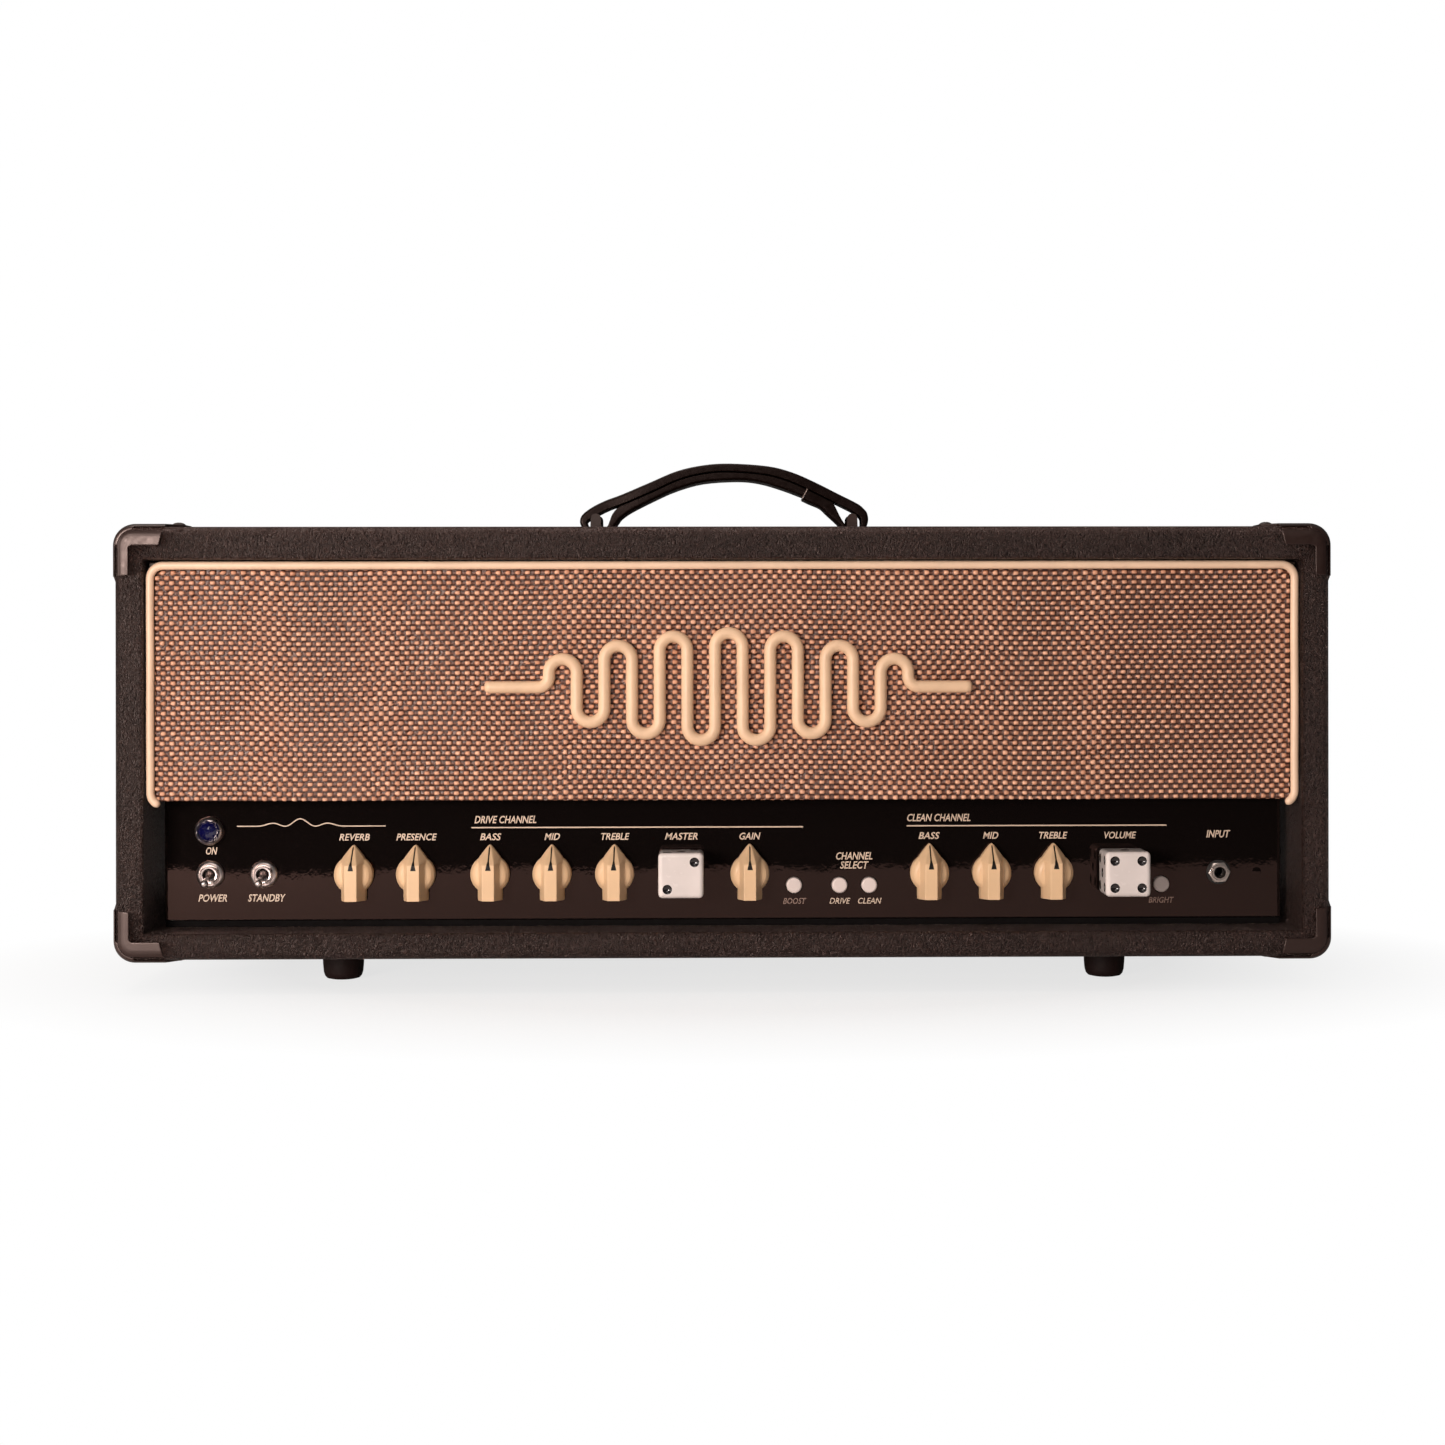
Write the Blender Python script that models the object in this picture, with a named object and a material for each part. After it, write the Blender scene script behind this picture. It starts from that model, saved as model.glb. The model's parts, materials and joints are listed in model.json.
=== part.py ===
"""A valve guitar amplifier head: a covered wooden sleeve with a grille, a control panel and a chassis.

Metres. +X is to the right seen from the front, +Y points to the back, +Z is up.
The origin is on the floor under the middle of the cabinet.
"""

import math

import bmesh
import bpy
from mathutils import Matrix

# Driving dimensions
CABINET_WIDTH = 0.680
CABINET_DEPTH = 0.250
CABINET_HEIGHT = 0.242
FOOT_HEIGHT = 0.019
SIDE_BOARD = 0.016
TOP_BOARD = 0.0186
BOTTOM_BOARD = 0.015
SLEEVE_CORNER_RADIUS = 0.0105
SLEEVE_EDGE_RADIUS = 0.0045
PANEL_RECESS = 0.030
GAP = 0.0003

# Places that follow from them
HALF_WIDTH = CABINET_WIDTH / 2
FRONT_Y = -CABINET_DEPTH / 2
BACK_Y = CABINET_DEPTH / 2
BASE_Z = FOOT_HEIGHT
TOP_Z = BASE_Z + CABINET_HEIGHT
INNER_HALF_WIDTH = HALF_WIDTH - SIDE_BOARD
INNER_FLOOR_Z = BASE_Z + BOTTOM_BOARD
INNER_CEILING_Z = TOP_Z - TOP_BOARD
PANEL_Y = FRONT_Y + PANEL_RECESS

# Controls along the panel
KNOB_ROW_Z = 0.0642
KNOB_XS = {
    "reverb": -0.2111,
    "presence": -0.1759,
    "drive_bass": -0.1337,
    "drive_mid": -0.0984,
    "drive_treble": -0.0628,
    "gain": 0.0143,
    "clean_bass": 0.1170,
    "clean_mid": 0.1525,
    "clean_treble": 0.1880,
}
DICE_XS = {"master": -0.0246, "volume": 0.2265}
BUTTON_ROW_Z = 0.0571
BUTTON_XS = {"boost": 0.0396, "drive_select": 0.0656, "clean_select": 0.0826, "bright": 0.2500}
TOGGLE_XS = {"power": -0.2929, "standby": -0.2625}
LAMP_X, LAMP_Z = -0.2933, 0.0890
JACK_X, JACK_Z = 0.2831, 0.0639

# Control hardware
SHAFT_RADIUS = 0.0030
SHAFT_BORE_RADIUS = 0.0033
POT_BUSHING_RADIUS = 0.0035
POT_HOLE_RADIUS = 0.0039
BUTTON_RADIUS = 0.0045
BUTTON_PROUD = 0.0033
TOGGLE_PIVOT_PROUD = 0.0035
TOGGLE_REST_TILT = math.radians(16)
DIE_SIDE = 0.0254
DIE_STANDOFF = 0.0040
DIE_OFFSET_UP = 0.0012

# Handle, measured from the top of the cabinet
BAR_X = 0.0778
BAR_HEIGHT = 0.0100
BAR_RADIUS = 0.0025
LOOP_SAG = 0.0015
LOOP_INNER_RADIUS = 0.0043
# The strap's side view in millimetres: x, and height above the cabinet. It runs over the top from the
# left loop to the right, and then back underneath. The grip leans a little to the right.
STRAP_TOP = [(-88.0, 9.0), (-86.4, 12.9), (-80.6, 17.4), (-72.2, 21.6), (-62.4, 25.4), (-45.6, 32.4)]
STRAP_TOP += [(-28.8, 39.2), (-12.6, 43.0), (3.6, 44.0), (15.0, 43.6), (26.6, 42.2), (41.3, 38.6)]
STRAP_TOP += [(54.7, 33.0), (69.4, 25.9), (81.0, 20.0), (85.6, 16.4), (87.8, 12.9), (88.1, 8.9)]
STRAP_UNDER = [(86.4, 4.2), (82.6, 1.4), (77.8, 0.5), (73.2, 2.6), (68.9, 6.9), (62.4, 12.9), (58.4, 16.3)]
STRAP_UNDER += [(52.2, 19.4), (48.0, 21.8), (47.4, 23.4), (35.2, 28.1), (21.6, 32.0), (8.0, 33.3)]
STRAP_UNDER += [(-12.9, 31.9), (-29.3, 27.3), (-42.4, 21.5), (-55.6, 14.8), (-62.2, 10.3), (-64.9, 6.7)]
STRAP_UNDER += [(-68.2, 3.4), (-72.8, 1.2), (-77.8, 0.5), (-83.6, 2.0), (-87.0, 5.4)]
STRAP_WIDTH = 0.024

# Chassis
CHASSIS_HALF_WIDTH = 0.3165
CHASSIS_BACK_Y = 0.1045
SHEET = 0.0015
DECK_Z = 0.102
PANEL_HALF_WIDTH = 0.319
PANEL_BOTTOM_Z = 0.038
PANEL_TOP_Z = 0.1115
PANEL_THICKNESS = 0.002
BOARD_Y = -0.0700
REAR_SOCKET_Z = 0.070

# How a piece's own +Z points
FACING = {
    "UP": (0, 0, 0),
    "FRONT": (math.pi / 2, 0, 0),
    "BACK": (-math.pi / 2, 0, 0),
    "RIGHT": (0, math.pi / 2, 0),
}


def clear_scene():
    for obj in list(bpy.data.objects):
        bpy.data.objects.remove(obj, do_unlink=True)


def material(name, colour, roughness, metallic=0.0):
    made = bpy.data.materials.new(name)
    made.use_nodes = True
    shader = made.node_tree.nodes["Principled BSDF"]
    shader.inputs["Base Color"].default_value = (*colour, 1.0)
    shader.inputs["Roughness"].default_value = roughness
    shader.inputs["Metallic"].default_value = metallic
    made.diffuse_color = (*colour, 1.0)
    return made


def solid(name, bm, mat, location=(0, 0, 0), facing="UP"):
    """An object from a closed bmesh, with its faces turned outwards."""
    bmesh.ops.recalc_face_normals(bm, faces=bm.faces)
    mesh = bpy.data.meshes.new(name)
    bm.to_mesh(mesh)
    bm.free()
    mesh.materials.append(mat)
    return placed(name, mesh, location, facing)


def placed(name, mesh, location=(0, 0, 0), facing="UP"):
    obj = bpy.data.objects.new(name, mesh)
    obj.location = location
    obj.rotation_euler = FACING[facing]
    bpy.context.scene.collection.objects.link(obj)
    return obj


def smooth(obj, degrees=35):
    obj.data.shade_smooth()
    obj.data.set_sharp_from_angle(angle=math.radians(degrees))
    return obj


def box_mesh(low, high):
    bm = bmesh.new()
    bmesh.ops.create_cube(bm, size=1)
    size = [b - a for a, b in zip(low, high)]
    middle = [(a + b) / 2 for a, b in zip(low, high)]
    bmesh.ops.scale(bm, vec=size, verts=bm.verts)
    bmesh.ops.translate(bm, vec=middle, verts=bm.verts)
    return bm


def block(name, low, high, mat):
    """A box between two corners, with its origin at its middle."""
    middle = [(a + b) / 2 for a, b in zip(low, high)]
    bm = box_mesh([a - m for a, m in zip(low, middle)], [b - m for b, m in zip(high, middle)])
    return solid(name, bm, mat, middle)


def loft(rings, close_ends=True):
    """Joins rings of equally many points, one after another, and caps the two ends."""
    bm = bmesh.new()
    rows = [[bm.verts.new(point) for point in ring] for ring in rings]
    for row, following in zip(rows, rows[1:]):
        for i in range(len(row)):
            j = (i + 1) % len(row)
            bm.faces.new((row[i], row[j], following[j], following[i]))
    if close_ends:
        bm.faces.new(rows[0])
        bm.faces.new(rows[-1])
    return bm


def turned_mesh(profile, segments=16):
    """A shape turned about Z from (radius, height) points that start and end on the axis."""
    bm = bmesh.new()
    rows = []
    for radius, height in profile:
        if radius == 0:
            rows.append([bm.verts.new((0, 0, height))])
            continue
        angles = [2 * math.pi * i / segments for i in range(segments)]
        rows.append([bm.verts.new((radius * math.cos(a), radius * math.sin(a), height)) for a in angles])
    for row, following in zip(rows, rows[1:]):
        for i in range(segments):
            j = (i + 1) % segments
            corners = [row[i % len(row)], row[j % len(row)]]
            corners += [following[j % len(following)], following[i % len(following)]]
            bm.faces.new(dict.fromkeys(corners))
    return bm


def turned(name, profile, mat, location, facing="UP", segments=16):
    return smooth(solid(name, turned_mesh(profile, segments), mat, location, facing))


def prism_mesh(outline, low, high):
    """An XY outline pulled up from one height to another."""
    return loft([[(x, y, low) for x, y in outline], [(x, y, high) for x, y in outline]])


def hull_mesh(points):
    bm = bmesh.new()
    for point in points:
        bm.verts.new(point)
    hulled = bmesh.ops.convex_hull(bm, input=bm.verts)
    bmesh.ops.delete(bm, geom=hulled["geom_interior"] + hulled["geom_unused"], context="VERTS")
    return bm


def merged(meshes):
    """Several bmeshes in one, as a cutter that makes many holes at once."""
    result = bmesh.new()
    for bm in meshes:
        part = bpy.data.meshes.new("part")
        bmesh.ops.recalc_face_normals(bm, faces=bm.faces)
        bm.to_mesh(part)
        bm.free()
        result.from_mesh(part)
        bpy.data.meshes.remove(part)
    return result


def combine(obj, bm, operation, location=(0, 0, 0), facing="UP"):
    """Cuts a shape from an object, or joins it on, with a Boolean modifier and a hidden helper."""
    name = f"{obj.name}_{operation.lower()}_{len(obj.modifiers)}"
    helper = solid(name, bm, obj.data.materials[0], location, facing)
    helper.hide_render = True
    helper.display_type = "WIRE"
    modifier = obj.modifiers.new(operation.title(), "BOOLEAN")
    modifier.operation = operation
    modifier.object = helper
    modifier.solver = "EXACT"
    return obj


def cut(obj, bm, location=(0, 0, 0), facing="UP"):
    return combine(obj, bm, "DIFFERENCE", location, facing)


def join(obj, bm, location=(0, 0, 0), facing="UP"):
    return combine(obj, bm, "UNION", location, facing)


def finished_mesh(obj):
    """The object's mesh with its modifiers applied. The object and its helpers are then removed."""
    graph = bpy.context.evaluated_depsgraph_get()
    mesh = bpy.data.meshes.new_from_object(obj.evaluated_get(graph))
    helpers = [m.object for m in obj.modifiers if m.type == "BOOLEAN"]
    for used in [*helpers, obj]:
        bpy.data.objects.remove(used, do_unlink=True)
    return mesh


def cylinder_along_y(radius, x, z, low_y, high_y, segments=16):
    """A round cutter through the panel or the rear wall."""
    bm = turned_mesh([(0, 0), (radius, 0), (radius, high_y - low_y), (0, high_y - low_y)], segments)
    bmesh.ops.rotate(bm, matrix=Matrix.Rotation(-math.pi / 2, 3, "X"), verts=bm.verts)
    bmesh.ops.translate(bm, vec=(x, low_y, z), verts=bm.verts)
    return bm


def arc(centre, radius, start_degrees, end_degrees, steps):
    """Points on an arc, both ends included."""
    turn = end_degrees - start_degrees
    angles = [math.radians(start_degrees + turn * i / steps) for i in range(steps + 1)]
    return [(centre[0] + radius * math.cos(a), centre[1] + radius * math.sin(a)) for a in angles]


def rounded_rectangle(half_width, low, high, radius, steps=4):
    """An outline with four round corners, counted up from `low` to `high`."""
    points = []
    for sign_x, level, start in ((1, high, 0), (-1, high, 90), (-1, low, 180), (1, low, 270)):
        centre_level = level - radius if level == high else level + radius
        points += arc((sign_x * (half_width - radius), centre_level), radius, start, start + 90, steps)
    return points


def make_materials():
    return {
        "covering": material("covering", (0.035, 0.025, 0.023), 0.6),
        "corner_plastic": material("corner_plastic", (0.045, 0.030, 0.028), 0.4),
        "rubber": material("rubber", (0.012, 0.010, 0.010), 0.8),
        "handle_skin": material("handle_skin", (0.016, 0.010, 0.009), 0.4),
        "grille_cloth": material("grille_cloth", (0.42, 0.22, 0.14), 0.7),
        "cream_plastic": material("cream_plastic", (0.80, 0.60, 0.38), 0.45),
        "panel_gloss": material("panel_gloss", (0.010, 0.008, 0.008), 0.08),
        "steel": material("steel", (0.62, 0.60, 0.58), 0.3, 1.0),
        "black_steel": material("black_steel", (0.02, 0.02, 0.02), 0.5, 0.3),
        "chrome": material("chrome", (0.75, 0.70, 0.68), 0.15, 1.0),
        "wood": material("wood", (0.35, 0.23, 0.13), 0.7),
        "die_white": material("die_white", (0.85, 0.78, 0.74), 0.25),
        "button_grey": material("button_grey", (0.60, 0.55, 0.54), 0.4),
        "jewel_blue": material("jewel_blue", (0.01, 0.01, 0.12), 0.05),
        "glass": material("glass", (0.8, 0.8, 0.8), 0.05),
        "circuit_board": material("circuit_board", (0.05, 0.15, 0.06), 0.5),
        "black_plastic": material("black_plastic", (0.015, 0.015, 0.015), 0.45),
    }


def sleeve_mesh(offset=0.0):
    """The outer shape of the sleeve, grown by `offset`, with round corners and round end edges."""
    edge_steps = 3
    rings = []
    for end_y, inward in ((FRONT_Y, 1), (BACK_Y, -1)):
        turns = [math.pi / 2 * i / edge_steps for i in range(edge_steps + 1)]
        for turn in turns if inward == 1 else reversed(turns):
            inset = SLEEVE_EDGE_RADIUS * (1 - math.sin(turn)) - offset
            y = end_y + inward * (SLEEVE_EDGE_RADIUS * (1 - math.cos(turn)) - offset)
            outline = rounded_rectangle(
                HALF_WIDTH - inset, BASE_Z + inset, TOP_Z - inset, SLEEVE_CORNER_RADIUS - inset
            )
            rings.append([(x, y, z) for x, z in outline])
    return loft(rings)


def make_cabinet(mats):
    sleeve = smooth(solid("cabinet_sleeve", sleeve_mesh(), mats["covering"]), 40)
    past_ends = CABINET_DEPTH
    cut(
        sleeve,
        box_mesh(
            (-INNER_HALF_WIDTH, -past_ends, INNER_FLOOR_Z),
            (INNER_HALF_WIDTH, past_ends, INNER_CEILING_Z),
        ),
    )
    make_corners(mats["corner_plastic"])
    make_feet(mats["rubber"])


def make_corners(mat):
    """Eight moulded corner protectors, all mirror images of the one at the right, front and top."""
    proud = 0.0012
    front_arm, far = 0.0085, 1.0
    corner = solid("corner", sleeve_mesh(proud), mat)
    cut(corner, sleeve_mesh(GAP))
    # Each flange is as long as the arm beside it at the front, and widens backwards to take its screw
    arm, wide, flare_start, flare_end, depth = 0.0278, 0.0360, 0.0060, 0.0180, 0.0380
    outline = [(-far, far), (arm, far), (arm, -flare_start), (wide, -flare_end), (wide, -depth), (-far, -depth)]
    plan = [(HALF_WIDTH - u, FRONT_Y - v) for u, v in outline]
    combine(corner, prism_mesh(plan, -far, far), "INTERSECT")
    side = [(FRONT_Y - v, TOP_Z - u) for u, v in outline]
    across = loft([[(x, y, z) for y, z in side] for x in (-far, far)])
    combine(corner, across, "INTERSECT")
    inner_notch = box_mesh(
        (-far, FRONT_Y - far, -far),
        (HALF_WIDTH - front_arm, FRONT_Y + SLEEVE_EDGE_RADIUS / 4, TOP_Z - front_arm - GAP),
    )
    cut(corner, inner_notch)
    screw_in, screw_back = 0.0285, 0.0275
    head = [(0, -0.0006), (0.0040, -0.0006), (0.0040, 0.0003), (0.0029, 0.0016), (0, 0.0024)]
    head_y = FRONT_Y + screw_back
    join(corner, turned_mesh(head, 10), (HALF_WIDTH - screw_in, head_y, TOP_Z + proud))
    join(corner, turned_mesh(head, 10), (HALF_WIDTH + proud, head_y, TOP_Z - screw_in), "RIGHT")
    mesh = finished_mesh(corner)
    middle_z = (TOP_Z + BASE_Z) / 2
    for end, flip_y in (("front", 1), ("back", -1)):
        for level, flip_z in (("top", 1), ("bottom", -1)):
            for side, flip_x in (("right", 1), ("left", -1)):
                copy = mesh.copy()
                mirror = Matrix.Diagonal((flip_x, flip_y, flip_z, 1))
                lift = Matrix.Translation((0, 0, middle_z))
                copy.transform(lift @ mirror @ lift.inverted())
                if flip_x * flip_y * flip_z < 0:
                    copy.flip_normals()
                smooth(placed(f"corner_{end}_{level}_{side}", copy))


def make_feet(mat):
    """Four rubber bumpers, narrower and rounded at the floor."""
    top_radius, foot_x, foot_y = 0.0118, 0.223, 0.061
    profile = [(0, 0), (0.0078, 0), (0.0102, 0.0012), (0.0114, 0.0042), (0.0120, 0.0110)]
    profile += [(top_radius, FOOT_HEIGHT - GAP), (0, FOOT_HEIGHT - GAP)]
    for end, sign_y in (("front", -1), ("back", 1)):
        for side, sign_x in (("left", -1), ("right", 1)):
            turned(f"foot_{end}_{side}", profile, mat, (sign_x * foot_x, sign_y * foot_y, 0))


def strap_outline():
    """The strap's side view, in metres above the cabinet's top."""
    return [(x / 1000, z / 1000) for x, z in STRAP_TOP + STRAP_UNDER]


def teardrop():
    """The slack in the strap's right loop: round at the bar and drawn out to a point towards the grip."""
    centre = (BAR_X, BAR_HEIGHT - LOOP_SAG)
    apex = (0.0675, 0.0165)
    away = math.hypot(apex[0] - centre[0], apex[1] - centre[1])
    towards = math.degrees(math.atan2(apex[1] - centre[1], apex[0] - centre[0]))
    tangent = math.degrees(math.acos(LOOP_INNER_RADIUS / away))
    return [apex, *arc(centre, LOOP_INNER_RADIUS, towards + tangent, towards + 360 - tangent, 8)]


def make_handle(mats):
    """A strap handle whose two loops hang on bars. It lifts a little before the loops take the weight."""
    outline = strap_outline()
    bar_z = TOP_Z + BAR_HEIGHT
    low, high = -STRAP_WIDTH / 2, STRAP_WIDTH / 2

    def from_bar(points):
        return [(x, z - BAR_HEIGHT) for x, z in points]

    strap = solid(
        "handle_strap", prism_mesh(from_bar(outline), low, high), mats["handle_skin"], (0, 0, bar_z), "FRONT"
    )
    for sign in (1, -1):
        hole = [(sign * x, z) for x, z in from_bar(teardrop())]
        cut(strap, prism_mesh(hole, 2 * low, 2 * high), (0, 0, bar_z), "FRONT")
    smooth(strap, 30)
    for side, sign in (("left", -1), ("right", 1)):
        make_handle_bracket(f"handle_bracket_{side}", sign * BAR_X, mats["black_steel"])


def make_handle_bracket(name, x, mat):
    """A bar held by two ears, each with a foot that is screwed to the cabinet."""
    ear_inner, ear_thickness, ear_half_width = STRAP_WIDTH / 2 + 0.0006, 0.0020, 0.0032
    foot_reach, foot_half_width, foot_thickness = 0.026, 0.008, 0.0018
    bar_z = TOP_Z + BAR_HEIGHT
    foot_z = TOP_Z + GAP
    bar_end = ear_inner + ear_thickness / 2
    bar_profile = [(0, -bar_end), (BAR_RADIUS, -bar_end), (BAR_RADIUS, bar_end), (0, bar_end)]
    bracket = solid(name, turned_mesh(bar_profile, 12), mat, (x, 0, bar_z), "FRONT")
    ear = arc((0, 0), ear_half_width, 0, 180, 6)
    ear += [(-ear_half_width, foot_z - bar_z), (ear_half_width, foot_z - bar_z)]
    for sign in (1, -1):
        near, far = sorted((sign * ear_inner, sign * (ear_inner + ear_thickness)))
        join(bracket, prism_mesh(ear, near, far), (x, 0, bar_z), "FRONT")
        near, far = sorted((sign * (ear_inner + 0.0002), sign * foot_reach))
        foot = box_mesh(
            (x - foot_half_width, near, foot_z), (x + foot_half_width, far, foot_z + foot_thickness)
        )
        join(bracket, foot)
    return smooth(bracket)


# Grille: a board with cloth on it, cream piping round three sides and a relief emblem
PIPING_RADIUS = 0.0023
PIPING_HALF_WIDTH = 0.3212
PIPING_TOP_Z = 0.2394
PIPING_BEND = 0.0075
PIPING_Y = FRONT_Y + 0.0053
CLOTH_BOTTOM_Z = 0.1075
CLOTH_FRONT_Y = FRONT_Y + 0.0060
BAFFLE_FRONT_Y = FRONT_Y + 0.0080
BAFFLE_BACK_Y = FRONT_Y + 0.0200
EMBLEM_Z = 0.1710


def make_grille(mats):
    cloth_inset = PIPING_RADIUS + GAP
    cloth_half = PIPING_HALF_WIDTH - cloth_inset
    cloth_top = PIPING_TOP_Z - cloth_inset
    outline = rounded_rectangle(cloth_half, CLOTH_BOTTOM_Z, cloth_top, PIPING_BEND - cloth_inset, 3)
    cloth = prism_mesh(outline, -(BAFFLE_FRONT_Y - GAP), -CLOTH_FRONT_Y)
    solid("grille_cloth", cloth, mats["grille_cloth"], (0, 0, 0), "FRONT")
    block(
        "grille_baffle",
        (-0.3225, BAFFLE_FRONT_Y, CLOTH_BOTTOM_Z + 0.001),
        (0.3225, BAFFLE_BACK_Y, 0.2410),
        mats["wood"],
    )
    make_piping(mats["cream_plastic"])
    make_emblem(mats["cream_plastic"])


def make_piping(mat):
    """A round cord up the left side, over the top and down the right, tucked in at both bottom corners."""
    bottom_z = CLOTH_BOTTOM_Z + PIPING_BEND - PIPING_RADIUS - GAP
    inner_x = PIPING_HALF_WIDTH - PIPING_BEND
    top_z = PIPING_TOP_Z - PIPING_BEND
    half = arc((inner_x, top_z), PIPING_BEND, 90, 0, 5)
    half += arc((inner_x, bottom_z), PIPING_BEND, 0, -90, 5)
    path = [(-x, z) for x, z in reversed(half)] + half
    curve = bpy.data.curves.new("grille_piping", "CURVE")
    curve.dimensions = "3D"
    curve.bevel_depth = PIPING_RADIUS
    curve.bevel_resolution = 2
    curve.use_fill_caps = True
    spline = curve.splines.new("POLY")
    spline.points.add(len(path) - 1)
    for point, (x, z) in zip(spline.points, path):
        point.co = (x, PIPING_Y, z, 1)
    curve.materials.append(mat)
    return placed("grille_piping", curve)


def emblem_path():
    """A wave that swells and dies away, the same to both sides, with a straight tail at each end."""
    lobes, pitch, tail, tail_bend = 13, 0.0155, 0.036, 0.006
    start_x = -lobes * pitch / 2
    lead_in = [(start_x - tail, 0)]
    lead_in += arc((start_x - tail_bend, tail_bend), tail_bend, -90, 0, 3)
    wave = []
    for k in range(lobes):
        reach = tail_bend + 0.0165 * math.sin(math.pi * (k + 0.5) / lobes)
        up = 1 if k % 2 == 0 else -1
        centre = (start_x + (k + 0.5) * pitch, up * reach)
        wave += arc(centre, pitch / 2, 180, 180 - 180 * up, 6)
    lead_out = [(-x, y) for x, y in reversed(lead_in)]
    return lead_in + wave + lead_out


def sweep_flat(path, section):
    """Carries a section, given as (sideways, outward) points, along a flat path."""
    rings = []
    for i, (x, y) in enumerate(path):
        before, after = path[max(i - 1, 0)], path[min(i + 1, len(path) - 1)]
        along = math.atan2(after[1] - before[1], after[0] - before[0])
        side = (-math.sin(along), math.cos(along))
        rings.append([(x + side[0] * s, y + side[1] * s, out) for s, out in section])
    return loft(rings)


def make_emblem(mat):
    half, relief = 0.0034, 0.0052
    section = [(-half, 0), (half, 0), (half, 0.7 * relief), (0.5 * half, relief)]
    section += [(-0.5 * half, relief), (-half, 0.7 * relief)]
    bm = sweep_flat(emblem_path(), section)
    return smooth(solid("grille_emblem", bm, mat, (0.0024, CLOTH_FRONT_Y - GAP, EMBLEM_Z), "FRONT"))


def make_panel(mats):
    """The glossy front plate, with a hole for every control."""
    panel = block(
        "control_panel",
        (-PANEL_HALF_WIDTH, PANEL_Y, PANEL_BOTTOM_Z),
        (PANEL_HALF_WIDTH, PANEL_Y + PANEL_THICKNESS, PANEL_TOP_Z),
        mats["panel_gloss"],
    )
    holes = [(POT_HOLE_RADIUS, x, KNOB_ROW_Z) for x in (*KNOB_XS.values(), *DICE_XS.values())]
    holes += [(BUTTON_RADIUS + 0.0004, x, BUTTON_ROW_Z) for x in BUTTON_XS.values()]
    holes += [(0.0062, x, KNOB_ROW_Z) for x in TOGGLE_XS.values()]
    holes += [(0.0064, LAMP_X, LAMP_Z), (0.0050, JACK_X, JACK_Z)]
    through = [
        cylinder_along_y(radius, x, z, PANEL_Y - 0.01, PANEL_Y + 0.01, 12) for radius, x, z in holes
    ]
    cut(panel, merged(through))
    make_lamp(mats)
    for name, x in TOGGLE_XS.items():
        make_toggle(name, x, mats)
    make_input_jack(mats)
    make_buttons(mats["button_grey"])
    make_pot_board(mats["circuit_board"])


def make_lamp(mats):
    """A chrome bezel through the panel, and the faceted jewel that sits in it."""
    place = (LAMP_X, PANEL_Y, LAMP_Z)
    seat = 0.0010
    bezel = [(0, seat), (0.0063, seat), (0.0063, 0.0046), (0.0070, 0.0052), (0.0078, 0.0040)]
    bezel += [(0.0080, 0.0016), (0.0080, GAP), (0.0060, GAP), (0.0060, -0.012), (0, -0.012)]
    turned("lamp_bezel", bezel, mats["chrome"], place, "FRONT")
    jewel = [(0, seat + GAP), (0.0060, seat + GAP), (0.0060, 0.0045), (0.0048, 0.0062), (0.0025, 0.0074)]
    turned("lamp_jewel", [*jewel, (0, 0.0078)], mats["jewel_blue"], place, "FRONT", 12)


def make_toggle(name, x, mats):
    """A toggle switch: the bushing with its round nut, and the bat lever that rests tilted down."""
    place = (x, PANEL_Y, KNOB_ROW_Z)
    bore, bore_end = 0.0036, -0.0020
    bushing = [(0, bore_end), (bore, bore_end), (bore, 0.0055), (0.0047, 0.0058), (0.0053, 0.0050)]
    bushing += [(0.0056, 0.0027), (0.0074, 0.0027), (0.0079, 0.0018), (0.0079, GAP), (0.0058, GAP)]
    bushing += [(0.0058, -0.0150), (0, -0.0150)]
    turned(f"{name}_switch_bushing", bushing, mats["chrome"], place, "FRONT")
    lever = [(0, -0.0024), (0.0018, -0.0018), (0.0025, 0.0), (0.0018, 0.0018), (0.0013, 0.0030)]
    lever += [(0.0017, 0.0100), (0.0021, 0.0128), (0.0019, 0.0146), (0.0010, 0.0156), (0, 0.0158)]
    pivot = (x, PANEL_Y - TOGGLE_PIVOT_PROUD, KNOB_ROW_Z)
    bat = turned(f"{name}_switch_lever", lever, mats["chrome"], pivot, "FRONT", 12)
    bat.rotation_euler.x += TOGGLE_REST_TILT


def make_input_jack(mats):
    """A quarter-inch socket with its washer and hexagon nut, and its body behind the panel."""
    bore, bore_end = 0.003175, -0.020
    jack = [(0, bore_end), (bore, bore_end), (bore, 0.0050), (0.0044, 0.0050), (0.0044, 0.0012)]
    jack += [(0.0076, 0.0012), (0.0076, GAP), (0.0047, GAP), (0.0047, -0.004), (0.0085, -0.004)]
    jack += [(0.0085, -0.023), (0, -0.023)]
    place = (JACK_X, PANEL_Y, JACK_Z)
    socket = turned("input_jack", jack, mats["steel"], place, "FRONT")
    nut_radius, bushing_radius = 0.0065, 0.0043
    nut = turned_mesh([(0, 0.0010), (nut_radius, 0.0010), (nut_radius, 0.0042), (0, 0.0042)], 6)
    inner = turned_mesh([(0, -0.001), (bushing_radius, -0.001), (bushing_radius, 0.01), (0, 0.01)])
    ring = solid("nut_ring", nut, mats["steel"])
    ring_mesh = bmesh.new()
    ring_mesh.from_mesh(finished_mesh(cut(ring, inner)))
    return join(socket, ring_mesh, place, "FRONT")


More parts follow.
